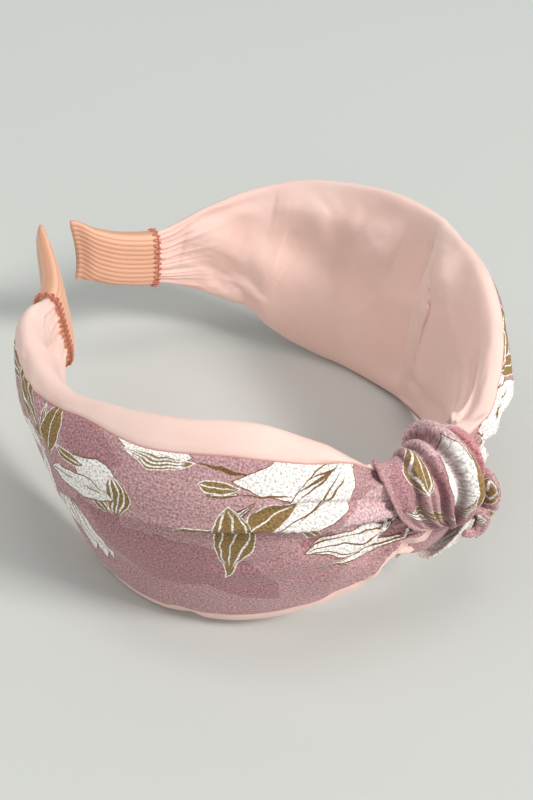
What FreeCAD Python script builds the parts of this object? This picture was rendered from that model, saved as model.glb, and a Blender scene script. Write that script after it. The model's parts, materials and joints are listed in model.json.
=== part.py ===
import FreeCAD, Part
import math
import os

import Sketcher

# A knotted fabric headband, standing on its lower edges as it does on a table.
#
# A flat sprung hoop runs from tip to tip inside a flattened fabric tube. The tube has a printed
# panel outside and a satin lining that covers the inside and rolls round both edges. The tube is
# gathered at the crown, where a knot of the printed fabric goes round it, and each end is drawn
# into a ribbed ribbon sleeve that is overcast to the tube.
#
# Every sub-part is drawn in the hoop's frame: origin at the centre of the hoop's bend, +Z along
# the hoop's axis, the crown at -Y and the two tips at +Y. Its placement then stands it on Z = 0
# with the origin at the middle of the footprint.

SIZES = [
    # alias, millimetres or degrees, meaning
    ("bend_radius", 61.0, "hoop centreline radius, crown to sleeve seam"),
    ("tip_gap", 11.0, "between the middles of the strip's two ends"),
    ("flex_angle", 20.0, "from the crown to each flex line"),
    ("hoop_width", 20.0, "sprung strip, along the hoop's axis"),
    ("hoop_thickness", 1.6, "sprung strip, across the bend"),
    ("hoop_edge_round", 0.5, "fillet on the strip's long edges"),
    ("hoop_joint_gap", 0.8, "between two lengths of strip at a flex line"),
    ("band_width", 66.0, "fabric tube at its widest"),
    ("tube_depth", 8.2, "fabric tube across the bend, over the fabric"),
    ("cloth", 0.8, "one layer of fabric with its seam allowance"),
    ("widest_from", 54.0, "from the crown to where the band is first at its widest"),
    ("widest_to", 88.0, "from the crown to where it starts to taper"),
    ("flex_line_width", 42.0, "fabric tube at the flex line"),
    ("tip_sweep_radius", 60.0, "edge curve from the widest part towards the sleeve"),
    ("crown_width", 31.0, "gathered tube under the knot"),
    ("upper_roll", 8.0, "lining that shows above the printed panel"),
    ("lower_roll", 3.0, "lining that shows below the printed panel"),
    ("seam_gap", 0.4, "groove along the seam, which the thread lies in"),
    ("thread", 0.3, "seam thread"),
    ("flex_room", 2.2, "cloth kept back from a flex line on the arm's side"),
    ("crown_room", 0.4, "cloth kept back from a flex line on the crown's side"),
    ("sleeve_length", 26.0, "ribbed sleeve, along the band"),
    ("sleeve_wall", 0.9, "ribbed ribbon"),
    ("sleeve_fit", 0.3, "between the ribbon and the strip inside it"),
    ("sleeve_round", 0.8, "fillet on the sleeve's long edges"),
    ("sleeve_clearance", 0.3, "between the sleeve and the tube it meets"),
    ("overcast_pitch", 2.6, "spacing of the overcasting stitches"),
    ("overcast_length", 3.2, "one stitch across the sleeve's edge"),
    ("overcast_thread", 0.6, "overcasting thread"),
    ("knot_left", -15.0, "X where the knot's wrap starts"),
    ("knot_right", 9.0, "X where the knot's wrap ends"),
    ("knot_front", 9.0, "cloth of the wrap outside the band"),
    ("knot_back", 3.0, "cloth of the wrap inside the band"),
    ("knot_ends", 5.5, "cloth of the wrap above and below the band"),
    ("knot_round", 2.6, "fillet on the wrap"),
    ("knot_clearance", 0.3, "between two folds of the knot"),
    ("side_fold_width", 7.5, "second turn of the knot, along the band"),
    ("side_fold_front", 5.5, "second turn outside the band"),
    ("side_fold_ends", 3.5, "second turn above and below the band"),
    ("side_fold_back", 2.0, "second turn inside the band"),
    ("side_fold_round", 1.6, "fillet on the second turn"),
    ("under_fold_depth", 6.0, "fold tucked below the wrap"),
    ("under_fold_length", 20.0, "the same fold, along the band"),
    ("under_fold_round", 2.0, "fillet on that fold"),
    ("tack_count", 4, "hand stitches that hold the knot to the lining"),
    ("tack_length", 3.0, "one hand stitch"),
    ("tack_thread", 0.7, "doubled hand-sewing thread"),
    ("tack_gap", 0.1, "between that thread and the wrap"),
]

doc = FreeCAD.newDocument("knotted_headband")
sheet = doc.addObject("Spreadsheet::Sheet", "sizes")
for row, (alias, value, meaning) in enumerate(SIZES, start=1):
    sheet.set(f"A{row}", alias)
    sheet.set(f"B{row}", str(value))
    sheet.set(f"C{row}", meaning)
    sheet.setAlias(f"B{row}", alias)
doc.recompute()


def worked_out(expression):
    """The plain number that an expression in the driving dimensions gives."""
    return float(sheet.evalExpression(expression))


def size(alias):
    """A driving dimension as a plain number."""
    return worked_out("sizes." + alias)


# Expressions that several sub-parts share. ARM_ANGLE is the turn from the crown to each sleeve seam that
# leaves the stated gap between the ends of the two straight tips.
ARM_ANGLE = (
    "(180 - (asin(sizes.tip_gap / 2 / sqrt(sizes.bend_radius ^ 2 + sizes.sleeve_length ^ 2))"
    " + atan(sizes.sleeve_length / sizes.bend_radius)) / 1 deg)"
)
TUBE_OUT = "(sizes.bend_radius + sizes.tube_depth / 2)"
TUBE_IN = "(sizes.bend_radius - sizes.tube_depth / 2)"
FRONT_REACH = "(sizes.bend_radius + sizes.tube_depth / 2 + sizes.knot_clearance + sizes.knot_front)"
REAR_REACH = (
    f"(sizes.sleeve_length * sin({ARM_ANGLE})"
    " - (sizes.bend_radius + sizes.hoop_thickness / 2 + sizes.sleeve_fit + sizes.sleeve_wall)"
    f" * cos({ARM_ANGLE}))"
)
ARM_FIRST = "(sizes.flex_angle + sizes.flex_room / sizes.bend_radius * 180 / pi)"
ARM_LAST = f"({ARM_ANGLE} - sizes.sleeve_clearance / sizes.bend_radius * 180 / pi)"
SIDES = {"left": -1, "right": 1}
OVER_ALL = 4.0  # how many band widths a cutting tool is drawn long


def stand(obj, turn="0"):
    """Stands an object on Z = 0 with the footprint's middle at the origin, after a turn about Z."""
    obj.Placement = FreeCAD.Placement(FreeCAD.Vector(), FreeCAD.Rotation(FreeCAD.Vector(0, 0, 1), 0.001))
    obj.setExpression("Placement.Rotation.Angle", turn)
    obj.setExpression("Placement.Base.y", f"({FRONT_REACH} - {REAR_REACH}) / 2")
    obj.setExpression("Placement.Base.z", "sizes.band_width / 2")


def plane(body, role):
    """One of a body's own origin planes."""
    return next(f for f in body.Origin.OriginFeatures if f.Role == role)


def sketch_on(body, role, name):
    sketch = body.newObject("Sketcher::SketchObject", name)
    sketch.AttachmentSupport = [(plane(body, role), "")]
    sketch.MapMode = "FlatFace"
    return sketch


def rectangle(sketch, left, right, low, high):
    """A rectangle whose four sides sit at signed distances, each an expression, from the sketch's axes."""
    corners = [FreeCAD.Vector(x, y, 0) for x, y in ((1, 1), (2, 1), (2, 2), (1, 2))]
    lines = [Part.LineSegment(corners[i], corners[(i + 1) % 4]) for i in range(4)]
    sketch.addGeometry(lines, False)
    for i in range(4):
        sketch.addConstraint(Sketcher.Constraint("Coincident", i, 2, (i + 1) % 4, 1))
    for i, kind in enumerate(("Horizontal", "Vertical", "Horizontal", "Vertical")):
        sketch.addConstraint(Sketcher.Constraint(kind, i))
    for name, kind, vertex, expression, start in (
        ("left", "DistanceX", (0, 1), left, 1.0),
        ("low", "DistanceY", (0, 1), low, 1.0),
        ("right", "DistanceX", (1, 2), right, 2.0),
        ("high", "DistanceY", (1, 2), high, 2.0),
    ):
        index = sketch.addConstraint(Sketcher.Constraint(kind, *vertex, start))
        sketch.renameConstraint(index, name)
        sketch.setExpression(f"Constraints.{name}", expression)


def revolved(name, inner, outer, low, high, sweep, reverse=False):
    """A body: a rectangle in the radius and height plane, turned about the hoop's axis."""
    body = doc.addObject("PartDesign::Body", name)
    profile = sketch_on(body, "XZ_Plane", name + "_section")
    rectangle(profile, inner, outer, low, high)
    turn = body.newObject("PartDesign::Revolution", name + "_turn")
    turn.Profile = profile
    turn.ReferenceAxis = (profile, ["V_Axis"])
    turn.Reversed = reverse
    turn.setExpression("Angle", sweep)
    body.Tip = turn
    return body


def start_turn(side, first, last):
    """The turn that carries a section drawn on +X to where an arm's revolution starts, on its -X side."""
    return f"-90 + {first}" if side > 0 else f"-90 - {last}"


def sleeve_width():
    """The sleeve along the hoop's axis: the strip, a clearance and the ribbon on both sides."""
    return size("hoop_width") + 2 * (size("sleeve_fit") + size("sleeve_wall"))


def upright(y, z):
    """A point in the side view."""
    return FreeCAD.Vector(0, y, z)


def band_edge(inset, sign):
    """One long edge of the band in the side view, crown to sleeve, set in from the band's real edge."""
    radius = size("bend_radius")
    height = size("band_width") / 2 - inset
    flex_y = -radius * math.cos(math.radians(size("flex_angle")))
    flex_z = size("flex_line_width") / 2 - inset
    front = -radius * math.cos(math.radians(size("widest_from")))
    rear = -radius * math.cos(math.radians(size("widest_to")))
    tip_y = -radius * math.cos(math.radians(worked_out(ARM_ANGLE)))
    tip_z = max(sleeve_width() / 2 - inset, size("cloth"))

    # From the flex line an arc rises to the widest part and meets it level.
    run, rise = front - flex_y, height - flex_z
    crown_sweep = (run**2 + rise**2) / (2 * rise)
    half_turn = math.asin(run / crown_sweep) / 2
    crown_middle = upright(
        front - crown_sweep * math.sin(half_turn),
        sign * (height - crown_sweep + crown_sweep * math.cos(half_turn)),
    )

    # From the widest part an arc falls until it points at the sleeve's corner, then the edge is straight.
    sweep = size("tip_sweep_radius") - inset
    centre_z = height - sweep
    reach = math.hypot(tip_y - rear, tip_z - centre_z)
    turn = math.atan2(tip_y - rear, tip_z - centre_z) - math.acos(sweep / reach)
    tip_middle, tip_end = (
        upright(rear + sweep * math.sin(a), sign * (centre_z + sweep * math.cos(a))) for a in (turn / 2, turn)
    )

    crown = upright(-radius - size("tube_depth"), sign * flex_z)
    flex = upright(flex_y, sign * flex_z)
    level_from, level_to = upright(front, sign * height), upright(rear, sign * height)
    corner = upright(tip_y, sign * tip_z)
    past_corner = upright(tip_y + size("tube_depth"), sign * tip_z)
    return [
        Part.LineSegment(crown, flex).toShape(),
        Part.Arc(flex, crown_middle, level_from).toShape(),
        Part.LineSegment(level_from, level_to).toShape(),
        Part.Arc(level_to, tip_middle, tip_end).toShape(),
        Part.LineSegment(tip_end, corner).toShape(),
        Part.LineSegment(corner, past_corner).toShape(),
    ]


def outline_tool(name, top, bottom):
    """The band seen from the side, top and bottom set in from its edges, drawn long across both arms."""
    upper, lower = band_edge(top, 1), band_edge(bottom, -1)
    closing = [
        Part.LineSegment(upper[-1].lastVertex().Point, lower[-1].lastVertex().Point).toShape(),
        Part.LineSegment(lower[0].firstVertex().Point, upper[0].firstVertex().Point).toShape(),
    ]
    wire = Part.Wire(Part.__sortEdges__(upper + lower + closing))
    length = OVER_ALL * size("band_width")
    slab = Part.Face(wire).extrude(FreeCAD.Vector(length, 0, 0))
    slab.translate(FreeCAD.Vector(-length / 2, 0, 0))
    tool = doc.addObject("Part::Feature", name)
    tool.Shape = slab
    return tool


def boolean(kind, name, base, tool):
    result = doc.addObject(kind, name)
    result.Base = base
    result.Tool = tool
    return result


parts = []


def sub_part(obj, label):
    """Registers a finished sub-part under the name of its node."""
    obj.Label = label
    parts.append(obj)
    return obj


def rounded(body, radius, longer_than):
    """Fillets a body's edges that are longer than a length, so that joints between lengths stay square."""
    doc.recompute()
    base = body.Tip
    names = [f"Edge{i + 1}" for i, e in enumerate(base.Shape.Edges) if e.Length > longer_than]
    fillet = body.newObject("PartDesign::Fillet", body.Name + "_round")
    fillet.Base = (base, names)
    fillet.setExpression("Radius", radius)
    body.Tip = fillet
    return body


def hoop_section():
    """Inner and outer radius and lower and upper edge of the sprung strip."""
    return (
        "sizes.bend_radius - sizes.hoop_thickness / 2",
        "sizes.bend_radius + sizes.hoop_thickness / 2",
        "-sizes.hoop_width / 2",
        "sizes.hoop_width / 2",
    )


def hoop_crown():
    """The length of strip between the two flex lines."""
    half = "(sizes.flex_angle - sizes.hoop_joint_gap / 2 / sizes.bend_radius * 180 / pi)"
    body = revolved("hoop_crown_body", *hoop_section(), f"2 * {half}")
    rounded(body, "sizes.hoop_edge_round", size("hoop_width") * 1.01)
    stand(body, f"-90 - {half}")
    sub_part(body, "hoop_crown")


def hoop_arm(name, side):
    """The strip from a flex line to its tip: an arc, then a straight length inside the sleeve."""
    first = "(sizes.flex_angle + sizes.hoop_joint_gap / 2 / sizes.bend_radius * 180 / pi)"
    body = revolved(f"hoop_{name}_body", *hoop_section(), f"{ARM_ANGLE} - {first}", side > 0)
    doc.recompute()
    section = sketch_on(body, "XZ_Plane", f"hoop_{name}_tip_section")
    rectangle(section, *hoop_section())
    straight = body.newObject("PartDesign::Pad", f"hoop_{name}_tip")
    straight.Profile = section
    straight.Reversed = side > 0
    straight.setExpression("Length", "sizes.sleeve_length - 2 * sizes.sleeve_wall - sizes.sleeve_clearance")
    body.Tip = straight
    rounded(body, "sizes.hoop_edge_round", size("hoop_width") * 1.01)
    stand(body, f"-90 + {side} * {ARM_ANGLE}")
    sub_part(body, f"hoop_{name}")


def tube_ring(name, side, inner, outer):
    """A length of ring round one arm, as tall as the band, before its edges are shaped."""
    body = revolved(name, inner, outer, "-sizes.band_width", "sizes.band_width", f"{ARM_LAST} - {ARM_FIRST}")
    body.Placement = FreeCAD.Placement(FreeCAD.Vector(), FreeCAD.Rotation(FreeCAD.Vector(0, 0, 1), 0.001))
    body.setExpression("Placement.Rotation.Angle", start_turn(side, ARM_FIRST, ARM_LAST))
    return body


def arm_lining(name, side, outlines):
    """The satin: the inner wall, both rolled edges, and the lips that the printed panel lies between."""
    ring = tube_ring(f"lining_{name}_ring", side, TUBE_IN, TUBE_OUT)
    room = tube_ring(f"lining_{name}_room", side, f"{TUBE_IN} + sizes.cloth", f"{TUBE_OUT} - sizes.cloth")
    front = tube_ring(
        f"lining_{name}_front", side, f"{TUBE_OUT} - 2 * sizes.cloth", f"{TUBE_OUT} + sizes.cloth"
    )
    whole = boolean("Part::Common", f"lining_{name}_whole", ring, outlines["band"])
    inside = boolean("Part::Common", f"lining_{name}_inside", room, outlines["inside"])
    window = boolean("Part::Common", f"lining_{name}_window", front, outlines["window"])
    hollowed = boolean("Part::Cut", f"lining_{name}_hollowed", whole, inside)
    lining = boolean("Part::Cut", f"lining_{name}_cut", hollowed, window)
    stand(lining)
    sub_part(lining, f"lining_{name}")


def arm_print(name, side, outlines):
    """The printed panel, flush with the lining's lips."""
    ring = tube_ring(f"print_{name}_ring", side, f"{TUBE_OUT} - sizes.cloth", TUBE_OUT)
    panel = boolean("Part::Common", f"print_{name}_cut", ring, outlines["print"])
    stand(panel)
    sub_part(panel, f"print_panel_{name}")


def arm_seam(name, side, edge, outlines):
    """The thread along one seam, in the groove between the printed panel and the lining."""
    ring = tube_ring(
        f"seam_{edge}_{name}_ring",
        side,
        f"{TUBE_OUT} - (sizes.cloth + sizes.thread) / 2",
        f"{TUBE_OUT} - (sizes.cloth - sizes.thread) / 2",
    )
    groove = boolean(
        "Part::Cut", f"seam_{edge}_{name}_groove", outlines["thread_outer"], outlines["thread_inner"]
    )
    loop = boolean("Part::Common", f"seam_{edge}_{name}_loop", ring, groove)
    side_of_band = doc.addObject("Part::Box", f"seam_{edge}_{name}_half")
    for property_name in ("Length", "Width", "Height"):
        side_of_band.setExpression(property_name, f"{OVER_ALL} * sizes.band_width")
    low = "0" if edge == "upper" else f"-{OVER_ALL} * sizes.band_width"
    side_of_band.setExpression("Placement.Base.x", f"-{OVER_ALL / 2} * sizes.band_width")
    side_of_band.setExpression("Placement.Base.y", f"-{OVER_ALL / 2} * sizes.band_width")
    side_of_band.setExpression("Placement.Base.z", low)
    seam = boolean("Part::Common", f"seam_{edge}_{name}_cut", loop, side_of_band)
    stand(seam)
    sub_part(seam, f"seam_{edge}_{name}")


def tip_sleeve(name, side):
    """The ribbed ribbon drawn over the hoop's straight tip and closed at its end."""
    body = doc.addObject("PartDesign::Body", f"sleeve_{name}_body")
    depth = "(sizes.hoop_thickness / 2 + sizes.sleeve_fit)"
    width = "(sizes.hoop_width / 2 + sizes.sleeve_fit)"
    wall = "sizes.sleeve_wall"
    outside = sketch_on(body, "XZ_Plane", f"sleeve_{name}_outside")
    rectangle(
        outside,
        f"sizes.bend_radius - {depth} - {wall}",
        f"sizes.bend_radius + {depth} + {wall}",
        f"-{width} - {wall}",
        f"{width} + {wall}",
    )
    ribbon = body.newObject("PartDesign::Pad", f"sleeve_{name}_ribbon")
    ribbon.Profile = outside
    ribbon.Reversed = side > 0
    ribbon.setExpression("Length", "sizes.sleeve_length")
    body.Tip = ribbon
    doc.recompute()
    solid_volume = body.Shape.Volume
    inside = sketch_on(body, "XZ_Plane", f"sleeve_{name}_inside")
    rectangle(inside, f"sizes.bend_radius - {depth}", f"sizes.bend_radius + {depth}", f"-{width}", width)
    mouth = body.newObject("PartDesign::Pocket", f"sleeve_{name}_mouth")
    mouth.Profile = inside
    mouth.Reversed = side < 0
    mouth.setExpression("Length", "sizes.sleeve_length - sizes.sleeve_wall")
    body.Tip = mouth
    doc.recompute()
    if body.Shape.Volume > 0.9 * solid_volume:
        raise RuntimeError(f"the sleeve's mouth on the {name} cuts nothing")
    long_enough = max(edge.Length for edge in body.Shape.Edges) - size("sleeve_fit")
    names = [f"Edge{i + 1}" for i, e in enumerate(body.Shape.Edges) if e.Length > long_enough]
    fillet = body.newObject("PartDesign::Fillet", f"sleeve_{name}_round")
    fillet.Base = (mouth, names)
    fillet.setExpression("Radius", "sizes.sleeve_round")
    body.Tip = fillet
    stand(body, f"-90 + {side} * {ARM_ANGLE}")
    sub_part(body, f"tip_sleeve_{name}")


def overcasting(name, side):
    """Slanting stitches over the sleeve's edge, a row on the inside of the band and a row on the outside."""
    radius = size("overcast_thread") / 2
    rows = int(sleeve_width() / size("overcast_pitch"))
    slant = size("overcast_pitch") * 0.5
    stitches = []
    for face in (-1, 1):
        across = size("bend_radius") + face * (size("tube_depth") / 2 + radius)
        for i in range(rows):
            height = (i - (rows - 1) / 2) * size("overcast_pitch")
            start = FreeCAD.Vector(across, -size("overcast_length") / 2, height - slant / 2)
            run = FreeCAD.Vector(0, size("overcast_length"), slant)
            stitches.append(Part.makeCylinder(radius, run.Length, start, run))
    row = doc.addObject("Part::Feature", f"overcasting_{name}_row")
    row.Shape = Part.makeCompound(stitches)
    stand(row, f"-90 + {side} * {ARM_ANGLE}")
    sub_part(row, f"overcasting_{name}")


def crown_covers():
    """The gathered tube between the flex lines: a satin channel inside and the printed cloth outside."""
    half = "(sizes.flex_angle - sizes.crown_room / sizes.bend_radius * 180 / pi)"
    edge = "sizes.crown_width / 2"
    wall = "sizes.cloth"
    rim = f"{TUBE_OUT} - {wall} - sizes.seam_gap / 2"
    channel = revolved("lining_crown_body", TUBE_IN, rim, f"-{edge}", edge, f"2 * {half}")
    doc.recompute()
    room = sketch_on(channel, "XZ_Plane", "lining_crown_room")
    rectangle(room, f"{TUBE_IN} + {wall}", f"{TUBE_OUT} + {wall}", f"-{edge} + {wall}", f"{edge} - {wall}")
    groove = channel.newObject("PartDesign::Groove", "lining_crown_groove")
    groove.Profile = room
    groove.ReferenceAxis = (room, ["V_Axis"])
    groove.Angle = 360
    channel.Tip = groove
    stand(channel, f"-90 - {half}")
    sub_part(channel, "lining_crown")

    cover = revolved("print_crown_body", f"{TUBE_OUT} - {wall}", TUBE_OUT, f"-{edge}", edge, f"2 * {half}")
    stand(cover, f"-90 - {half}")
    sub_part(cover, "print_crown")


def knot_hole_back(left, right):
    """Y of the inner side of the band's passage through a turn of the knot that spans X left to X right."""
    return f"(sizes.knot_clearance - sqrt({TUBE_IN} ^ 2 - max(abs({left}); abs({right})) ^ 2))"


def knot_turn(label, left, right, front, back, ends, radius):
    """One turn of the knot's cloth round the gathered tube, from X left to X right."""
    body = doc.addObject("PartDesign::Body", label + "_body")
    gap = "sizes.knot_clearance"
    hole_front = f"-({TUBE_OUT} + {gap})"
    hole_back = knot_hole_back(left, right)
    hole_end = f"sizes.crown_width / 2 + {gap}"
    outside = sketch_on(body, "XY_Plane", label + "_outside")
    rectangle(outside, left, right, f"{hole_front} - {front}", f"{hole_back} + {back}")
    cloth = body.newObject("PartDesign::Pad", label + "_cloth")
    cloth.Profile = outside
    cloth.Midplane = True
    cloth.setExpression("Length", f"2 * ({hole_end} + {ends})")
    body.Tip = cloth
    doc.recompute()
    names = [f"Edge{i + 1}" for i in range(len(body.Shape.Edges))]
    fillet = body.newObject("PartDesign::Fillet", label + "_round")
    fillet.Base = (cloth, names)
    fillet.setExpression("Radius", radius)
    body.Tip = fillet
    doc.recompute()
    before = body.Shape.Volume
    inside = sketch_on(body, "XY_Plane", label + "_inside")
    rectangle(inside, f"{left} - {gap}", f"{right} + {gap}", hole_front, hole_back)
    passage = body.newObject("PartDesign::Pocket", label + "_passage")
    passage.Profile = inside
    passage.Midplane = True
    passage.setExpression("Length", f"2 * ({hole_end})")
    body.Tip = passage
    doc.recompute()
    if body.Shape.Volume > 0.9 * before:
        raise RuntimeError(f"the band's passage through {label} cuts nothing")
    stand(body)
    sub_part(body, label)


def knot_under_fold():
    """The fold of printed cloth that comes out below the wrap."""
    top = "-(sizes.crown_width / 2 + 2 * sizes.knot_clearance + sizes.knot_ends)"
    fold = doc.addObject("Part::Box", "knot_under_fold_block")
    fold.setExpression("Length", "sizes.under_fold_length")
    fold.setExpression("Width", "sizes.tube_depth + sizes.knot_front / 2")
    fold.setExpression("Height", "sizes.under_fold_depth")
    fold.setExpression("Placement.Base.x", "sizes.knot_right - sizes.under_fold_length")
    fold.setExpression("Placement.Base.y", f"-({TUBE_OUT} + sizes.knot_front / 2)")
    fold.setExpression("Placement.Base.z", f"{top} - sizes.under_fold_depth")
    doc.recompute()
    rounding = doc.addObject("Part::Fillet", "knot_under_fold_round")
    rounding.Base = fold
    radius = size("under_fold_round")
    rounding.Edges = [(i + 1, radius, radius) for i in range(len(fold.Shape.Edges))]
    stand(rounding)
    sub_part(rounding, "knot_under_fold")


def knot_tacks():
    """Hand stitches on the inside of the knot, from the wrap into the lining beside it."""
    radius = size("tack_thread") / 2
    count = int(size("tack_count"))
    wrap_back = worked_out(knot_hole_back("sizes.knot_left", "sizes.knot_right") + " + sizes.knot_back")
    depth = wrap_back + size("tack_gap") + radius
    pitch = size("crown_width") / (count + 1)
    stitches = []
    for i in range(count):
        height = (i - (count - 1) / 2) * pitch
        middle = (size("knot_left") + size("knot_right")) / 2
        start = FreeCAD.Vector(middle - size("tack_length") / 2, depth, height)
        stitches.append(Part.makeCylinder(radius, size("tack_length"), start, FreeCAD.Vector(1, 0, 0)))
    row = doc.addObject("Part::Feature", "knot_tacks_row")
    row.Shape = Part.makeCompound(stitches)
    stand(row)
    sub_part(row, "knot_tacks")


def band_outlines():
    """The side views that shape the cloth of both arms, each set in from the last."""
    upper, lower = size("upper_roll"), size("lower_roll")
    cloth, groove, thread = size("cloth"), size("seam_gap"), size("thread")
    near = (groove - thread) / 2
    far = near + thread
    return {
        "band": outline_tool("outline_band", 0, 0),
        "inside": outline_tool("outline_inside", cloth, cloth),
        "window": outline_tool("outline_window", upper, lower),
        "thread_outer": outline_tool("outline_thread_outer", upper + near, lower + near),
        "thread_inner": outline_tool("outline_thread_inner", upper + far, lower + far),
        "print": outline_tool("outline_print", upper + groove, lower + groove),
    }


hoop_crown()
crown_covers()
knot_turn(
    "knot_wrap",
    "sizes.knot_left",
    "sizes.knot_right",
    "sizes.knot_front",
    "sizes.knot_back",
    "sizes.knot_ends",
    "sizes.knot_round",
)
knot_turn(
    "knot_side_fold",
    "sizes.knot_right + sizes.knot_clearance",
    "sizes.knot_right + sizes.knot_clearance + sizes.side_fold_width",
    "sizes.side_fold_front",
    "sizes.side_fold_back",
    "sizes.side_fold_ends",
    "sizes.side_fold_round",
)
knot_under_fold()
knot_tacks()
shared_outlines = band_outlines()
for side_name, side_sign in SIDES.items():
    hoop_arm(side_name, side_sign)
    arm_lining(side_name, side_sign, shared_outlines)
    arm_print(side_name, side_sign, shared_outlines)
    arm_seam(side_name, side_sign, "upper", shared_outlines)
    arm_seam(side_name, side_sign, "lower", shared_outlines)
    tip_sleeve(side_name, side_sign)
    overcasting(side_name, side_sign)

doc.recompute()
failed = [o.Label for o in doc.Objects if "Invalid" in o.State or "Error" in o.State]
if failed:
    raise RuntimeError(f"these objects failed: {failed}")
for part in parts:
    if part.Shape.isNull() or not part.Shape.isValid() or not part.Shape.Solids:
        raise RuntimeError(f"{part.Label} has no valid solid")

os.makedirs("parts", exist_ok=True)
for part in parts:
    part.Shape.exportStep(os.path.join("parts", part.Label + ".step"))
    box = part.Shape.BoundBox
    spans = ((box.XMin, box.XMax), (box.YMin, box.YMax), (box.ZMin, box.ZMax))
    places = "  ".join(f"{axis} {low:6.1f} {high:6.1f}" for axis, (low, high) in zip("xyz", spans))
    print(f"{part.Label:20s} {len(part.Shape.Solids):3d} solids {part.Shape.Volume:9.1f} mm3  {places}")
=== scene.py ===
"""A knotted turban headband: cloth tubes over a sprung hoop, gathered into a knot, with ribbon sleeves.

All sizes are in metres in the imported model's frame: the crown and its knot at -Y, the tips at +Y.
"s" is a distance along an arm from the middle of the crown, and side is -1 for left, 1 for right.
"""

import json
import math

import bmesh
import bpy
import numpy as np
from mathutils import Matrix, Vector


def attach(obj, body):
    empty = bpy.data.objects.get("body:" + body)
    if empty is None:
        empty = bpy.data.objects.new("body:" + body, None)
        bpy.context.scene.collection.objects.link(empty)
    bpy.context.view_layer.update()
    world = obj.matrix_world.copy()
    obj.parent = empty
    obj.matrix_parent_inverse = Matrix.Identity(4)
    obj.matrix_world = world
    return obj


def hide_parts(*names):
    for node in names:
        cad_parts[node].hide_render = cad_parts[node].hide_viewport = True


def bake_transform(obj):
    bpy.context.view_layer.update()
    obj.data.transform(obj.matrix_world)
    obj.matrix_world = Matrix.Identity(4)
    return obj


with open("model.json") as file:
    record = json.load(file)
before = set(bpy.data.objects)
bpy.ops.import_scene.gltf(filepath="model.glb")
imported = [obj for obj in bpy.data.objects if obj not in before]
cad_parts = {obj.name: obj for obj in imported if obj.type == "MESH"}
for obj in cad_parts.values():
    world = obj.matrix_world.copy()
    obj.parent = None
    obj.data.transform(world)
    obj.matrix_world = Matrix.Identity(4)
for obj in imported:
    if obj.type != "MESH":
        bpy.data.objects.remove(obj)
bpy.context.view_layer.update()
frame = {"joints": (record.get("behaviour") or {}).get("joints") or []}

MM = 0.001
SIDES = {"left": -1, "right": 1}


# ---------------------------------------------------------------- the hoop's line, from the frame

FLEX_ANGLE = math.radians(20.0)
SLEEVE = 26.0 * MM
TIP_GAP = 11.0 * MM


def joint_place(name):
    for joint in frame["joints"]:
        if joint["name"] == name:
            return np.array(joint["pos_m"])
    raise ValueError(name)


HINGE = joint_place("left_flex")
RADIUS = abs(HINGE[0]) / math.sin(FLEX_ANGLE)
CENTRE = np.array([0.0, HINGE[1] + RADIUS * math.cos(FLEX_ANGLE), HINGE[2]])
ARM = math.pi - math.asin(TIP_GAP / 2 / math.hypot(RADIUS, SLEEVE)) - math.atan2(SLEEVE, RADIUS)
SEAM = RADIUS * ARM
LENGTH = SEAM + SLEEVE
UP = np.array([0.0, 0.0, 1.0])

# The band's outline in mm above and below the hoop's line, by share of the arm's length.
TOP = {
    -1: [(0, 13), (0.12, 19), (0.22, 29.5), (0.32, 33), (0.42, 30.5), (0.5, 27), (0.62, 21),
         (0.72, 19), (0.8, 17.5), (0.865, 13.5), (1, 17)],
    1: [(0, 13), (0.12, 15.5), (0.22, 24), (0.32, 30), (0.5, 29.5), (0.62, 24), (0.7, 17.5),
        (0.78, 10.5), (0.865, 5.0), (1, 10)],
}
BOTTOM = {
    -1: [(0, 14.5), (0.12, 20), (0.22, 25.5), (0.32, 28.5), (0.47, 31.5), (0.6, 27), (0.7, 19),
         (0.865, 7), (1, 3.5)],
    1: [(0, 14.5), (0.12, 18), (0.22, 23.5), (0.32, 28), (0.47, 32), (0.6, 29), (0.7, 22.5),
        (0.865, 11.5), (1, 6)],
}
# How far the band leans outwards at its top, in degrees, and how far it stands off the hoop's arc.
LEAN = {
    -1: [(0, -8), (0.12, 0), (0.3, 0), (0.5, 8), (0.68, 20), (0.77, 24), (0.865, 14), (1, 12)],
    1: [(0, -8), (0.12, 3), (0.3, 0), (0.5, 6), (0.7, 16), (0.865, 8), (1, 12)],
}
RADIAL = {
    -1: [(0, 0), (0.25, 0.5), (0.4, -0.5), (0.5, -2.5), (0.7, -8), (0.865, -10), (1, -3.5)],
    1: [(0, 0), (0.3, 1), (0.5, 3), (0.7, 2), (0.9, -1), (1, -1)],
}
# How far the cloth stands off the hoop's line, outside and inside, in mm.
OUTER_PUFF = {
    -1: [(0, 5.5), (0.2, 4.8), (0.45, 5.0), (0.7, 4.5), (0.865, 2.6), (1, 2.0)],
    1: [(0, 5.5), (0.1, 6.5), (0.25, 6.5), (0.45, 5.0), (0.7, 4.0), (0.865, 2.2), (1, 2.0)],
}
INNER_PUFF = {
    -1: [(0, 5.0), (0.15, 5.5), (0.35, 6.0), (0.55, 5.5), (0.75, 3.5), (0.865, 2.4), (1, 2.0)],
    1: [(0, 5.0), (0.15, 4.0), (0.4, 3.6), (0.7, 3.2), (0.865, 2.0), (1, 2.0)],
}
# How far the top edge tips over inwards, in mm, and how much flatter the outer wall is low down.
TOP_TIP = {
    -1: [(0, 0), (0.12, 1), (0.3, 4.5), (0.5, 4), (0.7, 1), (1, 0)],
    1: [(0, 0), (0.3, -1), (0.6, 1), (1, 0)],
}
LOW_FLATTENING = 0.55
# Where the sleeves start and stop along the arm, in mm past the cloth's seam and short of the tip.
SLEEVE_START = {-1: -1.0, 1: 0.8}
SLEEVE_SHORT = {-1: 0.0, 1: 1.5}
CLOTH_INTO_SLEEVE = 1.8 * MM
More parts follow.
